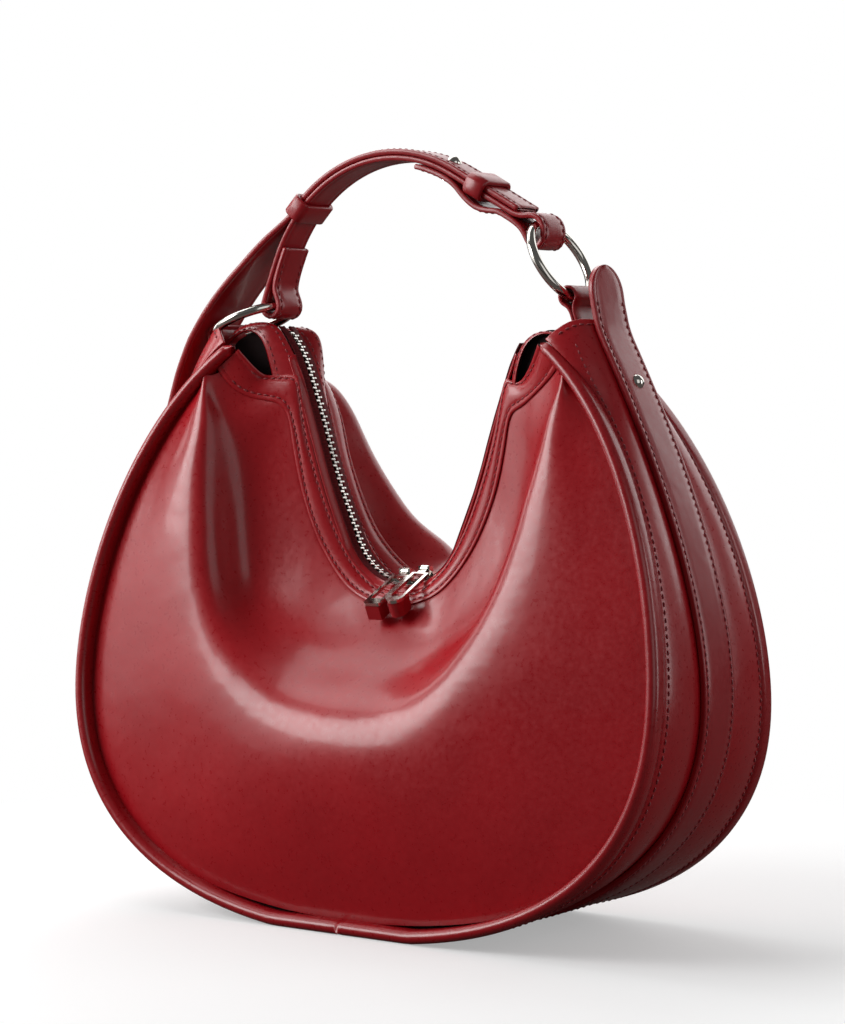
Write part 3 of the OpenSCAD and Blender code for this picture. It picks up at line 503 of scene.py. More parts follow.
# %% [markdown]
# ## Meshes
# A sheet of leather is a grid with a thickness; a rim or a strap is a row of closed
# sections. Every piece is made at the origin with its faces outwards, rides on its
# body, takes a material slot and stands for its CAD nodes. All of them could be
# modelled in edit mode; as functions they come out alike each time, and a changed
# size changes them all.

# %% Pieces
def quads_of(rows, columns, close_rows=False, close_columns=False):
    """Four corners of each cell of a grid; a closed way joins its last line to its first."""
    i = np.arange(rows if close_rows else rows - 1)[:, None]
    j = np.arange(columns if close_columns else columns - 1)[None]
    up, on = (i + 1) % rows, (j + 1) % columns
    cells = [i * columns + j, up * columns + j, up * columns + on, i * columns + on]
    return np.stack(np.broadcast_arrays(*cells), -1).reshape(-1, 4).tolist()


def volume_of(points, faces):
    """Signed volume: the sum of a.(b x c)/6 over the faces' fans; below 0 they face inwards."""
    fans = np.array([(f[0], f[k], f[k + 1]) for f in faces for k in range(1, len(f) - 1)])
    a, b, c = points[fans[:, 0]], points[fans[:, 1]], points[fans[:, 2]]
    return float(np.einsum("ij,ij->i", a, np.cross(b, c)).sum() / 6)


def piece(name, points, faces, material, closed=True):
    """A mesh object from points in millimetres; closed meshes are turned to face outwards."""
    points = np.asarray(points, float).reshape(-1, 3)
    if closed and volume_of(points, faces) < 0:
        faces = [f[::-1] for f in faces]
    mesh = bpy.data.meshes.new(name)
    mesh.from_pydata((points * METRES).tolist(), [], faces)
    mesh.polygons.foreach_set("use_smooth", np.ones(len(mesh.polygons), bool))
    mesh.materials.append(material)
    mesh.update()
    made = bpy.data.objects.new(name, mesh)
    scene.collection.objects.link(made)
    return made


def swept(name, rows, material, ends=True):
    """A closed skin over rows of section loops; flat caps close its ends."""
    rows = np.asarray(rows, float)
    m, n = rows.shape[:2]
    faces = quads_of(m, n, close_rows=not ends, close_columns=True)
    if ends:
        faces += [list(range(n))[::-1], list(range((m - 1) * n, m * n))]
    return piece(name, rows, faces, material)


def sheet_piece(name, grid, thick, material, edge=0.4, flip=False, painted=False):
    """A leather sheet: the grid is its outer face, Solidify gives its thickness inwards, and Bevel
    eases its edges. Flip is for a grid whose rows run the other way. The rim of its thickness can
    take a dark red, which is painted shade."""
    grid = np.asarray(grid, float)
    if flip:
        grid = grid[::-1]
    made = piece(name, grid, quads_of(*grid.shape[:2]), material, closed=False)
    wall = made.modifiers.new("leather_thickness", "SOLIDIFY")
    wall.thickness, wall.offset, wall.use_even_offset = thick * METRES, -1, True
    # The rim of the thickness can take a dark red: painted shade for the line under a raised edge.
    if painted:
        made.data.materials.append(painted_edge_shade)
        wall.material_offset_rim = 1
    ease = made.modifiers.new("eased_edges", "BEVEL")
    ease.width, ease.segments = edge * METRES, 2
    ease.limit_method, ease.angle_limit = "ANGLE", math.radians(50)
    return made


def normals_of(grid):
    """Unit normals of a grid: the cross product of the steps down its rows and its columns."""
    return unit_rows(np.cross(np.gradient(grid, axis=0), np.gradient(grid, axis=1)))


def faces_out(made):
    """Turns the faces of every loose part of a mesh outwards."""
    work = bmesh.new()
    work.from_mesh(made.data)
    bmesh.ops.recalc_face_normals(work, faces=work.faces)
    work.to_mesh(made.data)
    work.free()
    return made


def settle(made, body, slot_name, *nodes):
    """Rides on a body and stands for the named CAD nodes, which it hides. The slot name is not
    used.
    """
    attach(made, body)
    if nodes:
        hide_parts(*nodes)
    return made


print("a 4 by 5 tube has", len(quads_of(4, 5, close_columns=True)), "faces")

# %% [markdown]
# **Stitches.** The pitch of 3.2 mm is about eight stitches to the inch. Each one is a
# spindle of six rings of six points; both of its ends dip into the leather. Thread
# could be a bump in the material, but only real bars catch the light and shade the
# seam between them.

# %% Stitches
STITCH_PITCH, STITCH_LENGTH, THREAD_R, RING_POINTS = 3.2, 2.3, 0.36, 6
SPINDLE = np.array([  # each ring's place along the stitch, radius and height, as shares
    [-0.5, -0.38, -0.15, 0.15, 0.38, 0.5], [0.25, 0.8, 1, 1, 0.8, 0.25],
    [-0.9, -0.1, 0.35, 0.35, -0.1, -0.9]])


def sew(name, line, normal, sink=-0.12, body="bag"):
    """Thread along a line that has a normal at each point; a sink above 0 sets it deeper. It rides
    on the body, or on none if that is None. A point of a ring lies x along the line from the
    stitch's middle, rise + radius * sine outwards and radius * cosine across."""
    line, normal = np.asarray(line, float), np.asarray(normal, float)
    own = lengths_along(line)
    count = int((own[-1] - STITCH_PITCH) / STITCH_PITCH)
    at = (np.arange(count) + 0.5) * STITCH_PITCH + (own[-1] - count * STITCH_PITCH) / 2
    here, along = at_lengths(line, at), way_at(line, at, STITCH_LENGTH / 2)
    out = np.stack([np.interp(at, own, normal[:, k]) for k in range(3)], 1)
    out = unit_rows(out - along * np.sum(out * along, 1, keepdims=True))
    across = np.cross(along, out)
    x, radius, rise = SPINDLE * [[STITCH_LENGTH], [THREAD_R], [THREAD_R]] - [[0], [0], [sink]]
    turn = np.arange(RING_POINTS) * 2 * math.pi / RING_POINTS
    rings = (here[:, None, None] + along[:, None, None] * x[:, None, None]
             + out[:, None, None] * (rise[:, None] + radius[:, None] * np.sin(turn))[..., None]
             + across[:, None, None] * (radius[:, None] * np.cos(turn))[..., None])
    first = np.arange(count) * SPINDLE.shape[1] * RING_POINTS
    side_faces = np.array(quads_of(SPINDLE.shape[1], RING_POINTS, close_columns=True))
    faces = (side_faces[None] + first[:, None, None]).reshape(-1, 4).tolist()
    for end in (0, (SPINDLE.shape[1] - 1) * RING_POINTS):
        faces += (np.arange(RING_POINTS)[None] + end + first[:, None]).tolist()
    made = faces_out(piece(name, rings, faces, red_thread, closed=False))
    if body:
        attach(made, body)
    return made


print("stitch pitch", STITCH_PITCH, "mm")

# %% [markdown]
# ## The two panels
# Each panel is one piece of calf, cut deeply at the top and gathered a little, so it
# bulges over a ridge below the mouth and stands up as a lobe on each side. Five guide
# lines run from the mouth's facing out to the rim seam; natural splines through them
# both ways give one surface with no break in its highlights. A cloth simulation could
# settle a flat cut into such a form. Waxed calf is stiff, though, and its highlights
# are known, so the form is set directly.

# %% Panel surface
def shares(*rows):
    """A table of shares of the bag's half width, half depth and horn height, in thousandths."""
    return np.array(rows) / 1000


MOUTH = shares(
    [0, 130, 565], [55, 130, 568], [107, 132, 587], [160, 134, 615], [215, 134, 665],
    [270, 134, 740], [320, 134, 835], [352, 134, 915], [375, 140, 938], [440, 175, 938],
    [475, 250, 945], [520, 370, 985])
FACING_LOW = shares(
    [0, 255, 540], [85, 245, 549], [165, 228, 572], [240, 208, 620], [300, 197, 680],
    [345, 188, 750], [372, 188, 820], [390, 188, 868], [430, 213, 890], [500, 265, 898],
    [555, 340, 918], [592, 390, 949])
MOUTH_RIGHT = np.vstack([MOUTH[:8], shares(
    [372, 140, 930], [410, 155, 926], [466, 240, 953], [520, 360, 990])])
FACING_RIGHT = np.vstack([FACING_LOW[:8], shares(
    [430, 213, 885], [490, 265, 907], [550, 330, 932], [592, 390, 952])])
SLOPE = shares(
    [0, 620, 440], [140, 600, 445], [260, 560, 470], [360, 520, 510], [440, 470, 560],
    [480, 420, 630], [500, 380, 710], [515, 370, 790], [540, 390, 845], [570, 420, 875],
    [590, 430, 905], [603, 430, 945])
RIDGE = shares(
    [0, 1020, 350], [200, 1000, 365], [350, 955, 410], [460, 890, 480], [530, 820, 570],
    [560, 750, 660], [575, 680, 745], [585, 620, 815], [595, 560, 865], [605, 520, 895],
    [612, 485, 918], [613, 455, 942])
SLOPE_RIGHT, RIDGE_RIGHT = SLOPE.copy(), RIDGE.copy()
SLOPE_RIGHT[1:7] += shares(
    [-20, 0, 0], [-35, 10, -5], [-40, 10, -5], [-35, 10, 0], [-25, 5, 0], [-15, 0, 0])
RIDGE_RIGHT[1:7] += shares(
    [-20, 0, -4], [-40, 0, 0], [-50, 0, 5], [-45, 0, 0], [-28, 0, 0], [-15, 0, 0])
BULGE = shares(
    [0, 1050, 200], [300, 1030, 210], [500, 980, 270], [650, 920, 370], [745, 850, 470],
    [765, 780, 580], [740, 710, 680], [705, 640, 765], [670, 570, 835], [648, 525, 880],
    [632, 490, 910], [622, 465, 939])
BACK_LOW = shares(
    [0, 360, 582], [60, 360, 590], [117, 360, 609], [170, 355, 638], [217, 350, 675],
    [262, 345, 729], [305, 340, 795], [338, 350, 859], [400, 370, 922], [467, 400, 937],
    [533, 400, 945], [592, 390, 949])
SHOULDER = shares(
    [0, 810, 612], [60, 810, 632], [118, 790, 655], [177, 770, 680], [225, 745, 711],
    [275, 710, 753], [325, 670, 803], [366, 620, 855], [415, 575, 897], [485, 540, 927],
    [550, 500, 944], [600, 430, 948])
BACK_RIDGE = shares(
    [0, 1000, 478], [167, 995, 486], [300, 975, 510], [413, 940, 550], [507, 890, 605],
    [560, 835, 670], [580, 780, 733], [593, 715, 793], [603, 650, 845], [610, 575, 885],
    [613, 520, 916], [613, 475, 940])
SEAM_AT = 2 * np.array([0, 0.17, 0.3, 0.42, 0.52, 0.6, 0.68, 0.765, 0.84, 0.885, 0.918, 0.945])
RIM_W, RIM_D, SEAM_DROP = 5.6, 9.0, 7.0
SIDES = {"front": 1, "back": -1}


def guides(*tables):
    """Guide lines in millimetres on the front: x, y towards the viewer as a minus, z."""
    return [table * [HALF_W, -BASE_D, HORN_Z] for table in tables]


def seam_guide():
    """Where the panel is sewn to the rim: inside the rim's width and behind its crest."""
    inner = rim_line(SEAM_AT) - outward_of(rim_line, SEAM_AT) * (RIM_W - 0.4)
    return [np.stack([inner[:, 0], SEAM_DROP - half_depth(inner[:, 1]), inner[:, 1]], 1)]


def surface(halves, u, v):
    """Spline surface through the left half's guide lines, mirrored, and the right half's: u runs
    along them from -1 to 1, from horn to horn, and v across them from 0 to 1."""
    left, right = (np.stack(lines, 1) for lines in halves)
    net = np.concatenate([left[:0:-1] * [-1, 1, 1], right])
    rows = spline_rows(len(net), (np.asarray(u) + 1) / 2 * (len(net) - 1))
    columns = spline_rows(net.shape[1], np.asarray(v) * (net.shape[1] - 1))
    return np.einsum("ui,vj,ijk->uvk", rows, columns, net)


def turned(points, side):
    """The same points on the front, or mirrored to the back."""
    return points * [1, SIDES[side], 1]


def side_sheet(side, name, node, grid, thick, **edges):
    """A sheet of shell leather on the front or the back, in place of that side's CAD node."""
    made = sheet_piece(f"{side}_{name}", turned(grid, side), thick, shell_leather,
                       flip=side == "front", **edges)
    settle(made, "bag", "shell_leather", f"{side}_{node}")


PANEL_HALVES = {
    "front": [guides(FACING_LOW, SLOPE, RIDGE, BULGE) + seam_guide(),
              guides(FACING_RIGHT, SLOPE_RIGHT, RIDGE_RIGHT, BULGE) + seam_guide()],
    "back": [guides(BACK_LOW, SHOULDER, BACK_RIDGE, BULGE) + seam_guide()] * 2}
for side in SIDES:
    grid = surface(PANEL_HALVES[side], np.linspace(-0.985, 0.985, 181),
                   np.linspace(-0.008, 1, 57))
    side_sheet(side, "panel_leather", "panel", grid, 1.5)
    print(side, "panel", grid.min((0, 1)).round(1), grid.max((0, 1)).round(1))

# %% [markdown]
# ## Facing and mouth strip
# The mouth is finished with a second layer of calf, 6 to 14 mm wide, sewn near both edges. It lies
# on the panel and shows its cut edge, whose dark red is painted shade for the line under it. At the
# horns it turns a corner, and a narrow strip beside the zip flares behind it, leaving a dark
# hollow. It could be a thicker part of the panel; as a sheet of its own it has a real cut edge and
# stands a little proud between its seams.

# %% Facing
FACING_HALVES = {"front": [guides(MOUTH, FACING_LOW), guides(MOUTH_RIGHT, FACING_RIGHT)],
                 "back": [guides(MOUTH, BACK_LOW)] * 2}
FROM_INNER = np.array([0, 0.5, 1.3, 1.9, 2.4, 3.0])  # rows' distances from each edge, in mm
FROM_OUTER = np.array([3.2, 2.6, 2.1, 1.5, 0.7, 0])
FACING_LEAST = 6.6
FACING_RISE = 0.9 + np.array([-0.4, 0, 0.05, 0, -0.3, 0.05, 0.3, 0.45, 0.5,
                              0.45, 0.3, 0.05, -0.3, 0, 0.05, 0, -0.4])


def facing_rows(side):
    """Rows across the facing, at fixed distances from both edges so that its two sewn grooves
    keep theirs, with five rows between; each row has its own height over the panel."""
    edges = surface(FACING_HALVES[side], np.linspace(-0.998, 0.998, 241), [0, 1])
    start, end = edges[:, :1], edges[:, 1:]
    width = np.maximum(np.linalg.norm(end - start, axis=2), FACING_LEAST)
    low, high = FROM_INNER[-1] / width, 1 - FROM_OUTER[0] / width
    v = np.hstack([FROM_INNER / width, low + (high - low) * (np.arange(1, 6) / 6),
                   1 - FROM_OUTER / width])
    flat = start + (end - start) * v[..., None]
    out = -normals_of(flat)
    return flat + out * FACING_RISE[:, None], out


for side in SIDES:
    grid, out = facing_rows(side)
    # The facing's cut edges take the dark red, painted shade for the line under them.
    side_sheet(side, "facing_leather", "facing", grid, 1.9, edge=0.5, painted=True)
    for label, column in (("inner", 4), ("outer", 12)):
        sew(f"{side}_facing_{label}_stitches", turned(grid[6:-6, column], side),
            turned(out[6:-6, column], side), sink=-0.2)
    print(side, "facing's mean normal", out.mean((0, 1)).round(2))

# %% [markdown]
# **Mouth strip.** The zip's line is an arc at the bottom of the mouth, two straight
# legs and a short bend at each horn. A narrow strip of calf stands beside the tape on
# both sides and drops behind the facing. Three guide lines through the panels' own
# splines make it, so that both follow the mouth alike.

# %% Mouth strip beside the zip
ZIP_R, ZIP_LOW, LEG_A, LEG_L = 30.0, 144.6, math.radians(70), 80.0
zip_centre = np.array([0, ZIP_LOW + ZIP_R])
arc = np.linspace(0, LEG_A, 15)[:, None]
zip_arc_line = zip_centre + ZIP_R * np.hstack([np.sin(arc), -np.cos(arc)])
leg_way = unit_at(LEG_A)
leg_line = zip_arc_line[-1] + leg_way * LEG_L * (np.arange(1, 8) / 7)[:, None]
end_line = leg_line[-1] + np.array([[0.12, 0.24], [0.26, 0.44], [0.4, 0.58]]) * ZIP_R
zip_half = np.vstack([zip_arc_line, leg_line, end_line])
zip_half[15:, 0] += 1.4 * np.exp(-((zip_half[15:, 1] - 190) / 18) ** 2)


def zip_point(u):
    """The zip's centre line in x and z at share u of its right half's points."""
    rows = spline_rows(len(zip_half), np.clip(u, 0, 1) * (len(zip_half) - 1))
    return rows @ zip_half


def strip_guides():
    """The strip's inner edge stands beside the tape; its outer edge drops behind the facing."""
    at = np.linspace(0, 0.9, 12)
    inner = zip_point(at)
    slope = unit_rows(zip_point(at + 0.02) - zip_point(np.maximum(at - 0.02, 0)))
    outer = inner - left_of(slope) * 2.6
    near = np.stack([inner[:, 0], np.full(len(inner), -4.2), inner[:, 1] + 0.5], 1)
    far = np.stack([outer[:, 0], np.full(len(inner), -8.4), outer[:, 1]], 1)
    return [near, near * 0.5 + far * 0.5 + [0, -0.4, 0.5], far]


for side in SIDES:
    grid = surface([strip_guides()] * 2, np.linspace(-1, 1, 181), np.linspace(0, 1, 9))
    side_sheet(side, "mouth_strip", "placket", grid, 1.0)
print("mouth strip", round(length_of(grid[:, 0])), "mm long")

# %% [markdown]
# **Horn flaps.** Above the facing's corners the strip widens into four flaps that
# round off the mouth's ends. The one at the left front arches over a dark hollow; the
# others stand as small walls beside the zip. They could be folded out of the strip;
# as four short sheets, each between two edges, they are free to arch differently.

# %% Flaps
ARCH_FLAP = np.array([  # outer x, depth, z, then inner x, depth, z
    [66, 9, 227, 50.3, 5.4, 225], [68.6, 10, 237.7, 55, 5.6, 238],
    [71, 10.5, 246.4, 60.3, 6, 247.5], [74.4, 10.5, 252, 67, 6.4, 256.6],
    [80.4, 10, 254.8, 76.5, 6.6, 259], [88, 9.5, 252.9, 88, 6.6, 256.6],
    [95, 9, 247.5, 97, 6.6, 250]])
BACK_FLAP = np.array([
    [55, 10, 224, 49, 5.4, 222], [56.3, 12.5, 236, 54, 5.6, 235],
    [57, 13, 245, 58, 5.8, 244], [58.5, 12.8, 251.5, 62.5, 6, 250.6],
    [62, 12, 255.4, 68, 6.2, 254.4], [69, 11, 255.8, 75, 6.4, 255],
    [82, 10, 251.5, 84, 6.4, 251.5]])
LOW_FLAP = np.array([
    [60, 9, 229, 56.5, 5.4, 228.5], [62, 10, 237.5, 58.3, 5.6, 236.5],
    [65, 10.5, 245, 60.8, 6, 243.5], [69, 10.5, 250, 65.5, 6.3, 249.5],
    [75, 10, 252.4, 72.5, 6.5, 252.4], [82, 9.5, 251, 81, 6.5, 251.4],
    [88, 9, 247, 88, 6.5, 247.5]])
FLAPS = {("front", "left"): ARCH_FLAP, ("front", "right"): LOW_FLAP,
         ("back", "left"): BACK_FLAP, ("back", "right"): LOW_FLAP}


def flap_grid(table):
    """Spline rows between the flap's two edges, swelling 1.1 mm by sin(pi v)^0.7 between them."""
    rows = spline_rows(len(table), np.linspace(0, len(table) - 1, 61)) @ table
    outer, inner = rows[:, None, :3], rows[:, None, 3:]
    v = np.linspace(0, 1, 15)[None, :, None]
    flat = (outer + (inner - outer) * v) * [1, -1, 1]
    out = normals_of(flat)
    return flat + out * (1.1 * np.sin(np.pi * v) ** 0.7), out


for (side, hand), table in FLAPS.items():
    mirror = [-1 if hand == "left" else 1, 1, 1]
    grid, out = (turned(values * mirror, side) for values in flap_grid(table))
    # The flap's cut edges also take the dark red as painted shade.
    made = sheet_piece(f"{side}_{hand}_horn_flap", grid, 1.3, shell_leather, edge=0.45,
                       flip=(side == "back") != (hand == "left"), painted=True)
    made.data.materials.append(lining_cloth)
    made.modifiers["leather_thickness"].material_offset = 2
    settle(made, "bag", "shell_leather")
    for label, column in (("outer", 3), ("inner", 11)):
        sew(f"{side}_{hand}_flap_{label}_stitches", grid[4:-4, column], out[4:-4, column],
            sink=0.12)
print("flaps", len(FLAPS))

# %% [markdown]
# **Horn linings.** A sleeve of lining cloth stands inside each horn, so that its dark
# hollow has walls; its top edge is arched like the horn. A whole sewn lining would
# hardly be seen, so a short sleeve with one plan line does.

# %% Horn linings
SLEEVE_LOW, SLEEVE_TOP, SLEEVE_X = 218, 254, 78
SLEEVE = through([[55, -4.8], [66, -6.4], [78, -7.4], [90, -7], [92, 0], [90, 7], [78, 7.4],
                  [66, 6.4], [55, 4.8]], 6)
sleeve_top = SLEEVE_TOP - 0.03 * (SLEEVE[:, 0] - SLEEVE_X) ** 2
for hand, mirror in (("left", -1), ("right", 1)):
    plan = SLEEVE * [mirror, 1]
    low = np.column_stack([plan, np.full(len(plan), SLEEVE_LOW)])[:, None]
    high = np.column_stack([plan, sleeve_top])[:, None]
    made = sheet_piece(f"{hand}_horn_lining", low + (high - low) * [[[0], [0.5], [1]]], 0.6,
                       lining_cloth, flip=mirror > 0)
    settle(made, "bag", "lining_cloth")
print("sleeves up to", round(sleeve_top.max(), 1), "mm")

# %% [markdown]
# ## Rolled rims
# The edge of each panel is closed by a roll: calf turned over a filler and sewn in
# the valley behind it. One section, round in front and flat behind, is carried along
# the rim's line; a shallow notch at the bottom is where its ends are joined. A curve
# with a bevel is quicker, but its section can't change on the way, and this one thins
# towards both ends.

# %% Rims
def rim_rows(side):
    """Sections of the roll: a half ellipse in front, straight sides, and a valley behind."""
    s = np.sort(np.concatenate([np.linspace(-1.995, 1.995, 221), np.linspace(-0.03, 0.03, 13)]))
    front = np.linspace(0, math.pi, 13)
    inwards = np.concatenate([[0.7, 0.15], RIM_W / 2 * (1 - np.cos(front)),
                              [RIM_W, RIM_W, RIM_W * 0.5]])
    back = np.concatenate([[RIM_D, 6.4], 3.3 * (1 - np.sin(front)), [6.5, RIM_D, RIM_D + 0.2]])
    crest, out = rim_line(s), outward_of(rim_line, s)
    notch = 0.45 * np.exp(-(crest[:, 0] / 0.7) ** 2)
    q = np.clip(inwards[None], notch[:, None], RIM_W - notch[:, None])
    y = -half_depth(crest[:, 1])[:, None] + np.maximum(back[None], notch[:, None])
    rows = np.maximum(carried(crest, out, y, -q), [-np.inf, -np.inf, 0])
    along = lengths_along(crest)
    near_end = np.minimum(along, along[-1] - along)
    swell = np.sqrt(np.clip(1 - (1 - near_end / 4.5).clip(0) ** 2, 0.02, 1))[:, None, None]
    core = rows.mean(1, keepdims=True)
    return turned(core + (rows - core) * swell, side)


for side in SIDES:
    settle(swept(f"{side}_rolled_rim", rim_rows(side), rim_leather),
           "bag", "shell_leather", f"{side}_rim")
print("rim sections", rim_rows("front").shape[:2])

# %% [markdown]
# ## Gusset and belt
# A wide band of calf joins the two rims, swelling a little between its seams. A belt
# of two plies runs round its middle: its right end stands up as a loose tongue, and
# its left end leaves the bag and becomes the handle's upper ply. The band is a grid
# of rows across it, from valley to valley under the belt; a swept section could not
# wrap over the horns.

# %% Gusset
BELT_W, BELT_T, LIE_GAP = 24.0, 2.6, 0.3

GUSSET_ROWS = [  # share of the way to the belt, swell, and more swell at the horns
    (0, -0.2, 0.3), (0.08, 0.35, 0.9), (0.2, 0.85, 1.5), (0.35, 1.15, 1.7), (0.5, 1.25, 1.5),
    (0.65, 1.15, 1.0), (0.8, 0.8, 0.5), (0.9, 0.4, 0.2), (1.0, 0.0, 0.0)]


def horn_share(s):
    """How far a station is into a horn: 0 up to 1.72, and 1 from 1.98 on."""
    return np.clip((np.abs(s) - 1.72) / 0.26, 0, 1)


def gusset_grid(s):
    """Across the band: from one valley, over a low swell, under the belt, and back. Near the
    horns it rises and wraps over the rims' ends."""
    crest, crest_out = rim_line(s), outward_of(rim_line, s)
    face, face_out = belt_face(s), outward_of(belt_face, s)
    near = horn_share(s)
    cover = (near ** 2 * (3 - 2 * near))[:, None]
    valley = crest - crest_out * (0.7 - 1.1 * cover)
    under = face - face_out * (BELT_T + LIE_GAP)
    lift = 4.6 * (np.maximum(np.abs(s) - 1.5, 0) / 0.5)[:, None] ** 2
    up = left_of(face_out) * np.sign(s)[:, None]
    edge_y = half_depth(crest[:, 1]) - 0.1 - RIM_D * (1 - 0.86 * cover[:, 0])
    half = []
    for share, swell, more in GUSSET_ROWS:
        xz = (valley * (1 - share) + under * share + crest_out * (swell + more * cover)
              + up * lift * math.sin(share * math.pi / 2))
        y = edge_y * (1 - share) + BELT_W / 2 * share
        half.append(np.stack([xz[:, 0], -y, np.maximum(xz[:, 1], 0.02)], 1))
    half = np.stack(half, 1)
    return np.concatenate([half, half[:, -1:] * [1, 0, 1], half[:, ::-1] * [1, -1, 1]], 1)


gusset_s = np.linspace(-1.985, 1.985, 211)
grid = gusset_grid(gusset_s)
out = -normals_of(grid)
settle(sheet_piece("gusset_leather", grid, 1.5, shell_leather, flip=True),
       "bag", "shell_leather", "gusset")
veer = (horn_share(gusset_s) ** 2)[2:-2, None]
for side, column, further in (("front", 1, 4), ("back", -2, -5)):
    line = grid[2:-2, column] * (1 - veer) + grid[2:-2, further] * veer
    sew(f"{side}_valley_stitches", line, out[2:-2, column])
for side, row, inner in (("left", 0, 1), ("right", -1, -2)):
    line = grid[row, 1:-1] * 0.2 + grid[inner, 1:-1] * 0.8
    sew(f"{side}_gusset_end_stitches", line, out[inner, 1:-1])
print("gusset", round(length_of(grid[:, 9])), "mm long")

# %% [markdown]
# ## Straps
# All straps share one section: rounded edges, a shallow crown and a sewn groove near
# each edge. It is carried along a line in the x-z plane, whose points are taken at
# distances along it, closer together at the ends, which are eased. A curve object
# with a bevel comes close, but leaves sharp ends and bunches its rows in tight folds.

# %% Strap section, rows and thread
EDGE_R, ROW_STEP, GROOVE_HALF, GROOVE_D, THREAD_DROP = 0.7, 2.5, 0.7, 0.3, 0.22


def strap_section(thick, edge_r, groove, crown):
    """Points round a strap's section: y = a * half width + b, and n over the middle plane; the
    groove is a distance from the edge, 0 for none."""
    right = [(1, -edge_r + edge_r * math.cos(q), thick / 2 - edge_r + edge_r * math.sin(q))
             for q in np.radians([0, 30, 60, 90])]
    if groove:
        right += [(1, -groove + GROOVE_HALF, thick / 2), (1, -groove, thick / 2 - GROOVE_D),
                  (1, -groove - GROOVE_HALF, thick / 2)]
    right += [(0.45, 0, thick / 2 + crown * 0.8), (0, 0, thick / 2 + crown)]
    left = [(-a, -b, n) for a, b, n in right[-2::-1]]
    under = [(a, b, -min(n, thick / 2)) for a, b, n in right[::-1]]
    left_under = [(-a, -b, n) for a, b, n in under[-2::-1]]
    return np.array(right + left + left_under + under[1:-1])


def strap_stations(total, edge_r=EDGE_R, step=ROW_STEP):
    """Distances of a strap's rows: every step, and closer over the eased ends."""
    ease = edge_r * np.array([0, 0.12, 0.4, 1.0])
    inner = np.arange(edge_r + 0.6, total - edge_r - 0.6, step)
    return np.concatenate([ease, inner, total - ease[::-1]])


def strap(name, line, half_w, thick, edge_r=EDGE_R, groove=2.2, crown=0.15, step=ROW_STEP, s=None):
    """A strap piece and what its thread needs. Within edge_r of an end the section shrinks by
    r - sqrt(r^2 - d^2), unless the rows' distances s are given."""
    total = length_of(line)
    rounding = edge_r if s is None else 0.0
    s = strap_stations(total, edge_r, step) if s is None else s
    p = at_lengths(line, s)
    out = left_of(way_at(line, s, 0.4))
    width = half_w(s, p) if callable(half_w) else np.full(len(s), float(half_w))
    past = np.maximum(rounding - np.minimum(s, total - s), 0)
    inset = (rounding - np.sqrt(rounding ** 2 - past ** 2))[:, None]
    a, b, n = strap_section(thick, edge_r, groove, crown).T
    y = np.sign(a) * np.maximum(np.sign(a) * (a * width[:, None] + b) - inset, 0)
    h = np.sign(n) * np.maximum(np.abs(n) - inset, 0.02)
    made = swept(name, carried(p, out, y, h), strap_leather)
    return made, (s, p, out, width, thick, groove)


def strap_stitches(name, info, start, body):
    """Thread down both grooves of a strap, from a distance along it to its end."""
    s, p, out, width, thick, groove = info
    on = s >= start
    lift = (p + out * (thick / 2 - THREAD_DROP))[on]
    normal = np.stack([out[:, 0], 0 * s, out[:, 1]], 1)[on]
    return [sew(f"{name}_{side}_stitches",
                np.stack([lift[:, 0], -sign * (width - groove)[on], lift[:, 1]], 1), normal,
                body=body)
            for side, sign in SIDES.items()]


print("points round a strap", len(strap_section(2.4, EDGE_R, 2.2, 0.15)))

# %% [markdown]
# **Belt and tail lines.** The right half of the belt ends in a tongue that stands up
# past the horn. The left half leaves the bag below the left horn and becomes the
# tail, which widens, narrows to the strap's width and runs over the handle's arch.
# Each is one line, so that no joint shows where the leather is one piece.

# %% Belt and tail lines
TONGUE_Z, ARCH_X, ARCH_Z, ARCH_R = 280.5, -5.2, 261.8, 70.5
ARCH_END, PLY_T = math.radians(29), 2.4
RUN_L, STRAP_W = 37.0, 17.0
run_way = unit_at(-ARCH_END)


def on_arch(radius, degrees):
    """Points of the handle's arch: its centre plus the radius at angles from the top."""
    a = np.radians(np.atleast_1d(degrees))
    return np.stack([ARCH_X + radius * np.sin(a), ARCH_Z + radius * np.cos(a)], 1)


def on_run(radius, length):
    """A point of the straight run after the arch."""
    return on_arch(radius, math.degrees(ARCH_END)) + run_way * np.atleast_1d(length)[:, None]


def belt_mid(s):
    """The belt's middle line: half its thickness inside its outer face."""
    return belt_face(s) - outward_of(belt_face, s) * BELT_T / 2


tongue_top = belt_mid([2.0]) - [[3.0, 0]]
tongue_top[0, 1] = TONGUE_Z
right_belt = np.vstack([tongue_top, belt_mid(np.linspace(2, 0, 81))])
pull_s = np.linspace(1.15, 1.86, 14)
pulled = belt_mid(-pull_s) - np.stack([9.0 * ((pull_s - 1.15) / 0.75) ** 2, 0 * pull_s], 1)
TAIL = np.array([[-0.7385, 1], [-0.6953, 1.0359], [-0.6473, 1.0717], [-0.5927, 1.1056],
                 [-0.532, 1.1394], [-0.474, 1.1732]])
top_r = ARCH_R - PLY_T / 2
tail_line = np.vstack([
    belt_mid(np.linspace(0, -1.12, 45)), pulled,
    through(np.vstack([TAIL * [HALF_W, HORN_Z], on_arch(top_r, -52)]), 4),
    on_arch(top_r, np.linspace(-49, 29, 27)), on_run(top_r, RUN_L)])
tail_line = resampled(tail_line, 420, 10)


def tongue_width(s, p):
    """Half the belt's width r, closing in a half circle at the tip: sqrt(r^2 - (r - s)^2)."""
    short = BELT_W / 2 - np.minimum(s, BELT_W / 2)
    return np.sqrt(np.maximum((BELT_W / 2) ** 2 - short ** 2, 0.3))


TAIL_X = np.array([-154, -153, -135, -126, -112, -103.5, -88.5, -78, -69.75, -60, 80])
TAIL_HALF = np.array([12, 12, 12.4, 13.6, 14.7, 14.8, 13.9, 12.9, 11.2, 8.5, 8.5])
TAIL_FROM_Z = 120


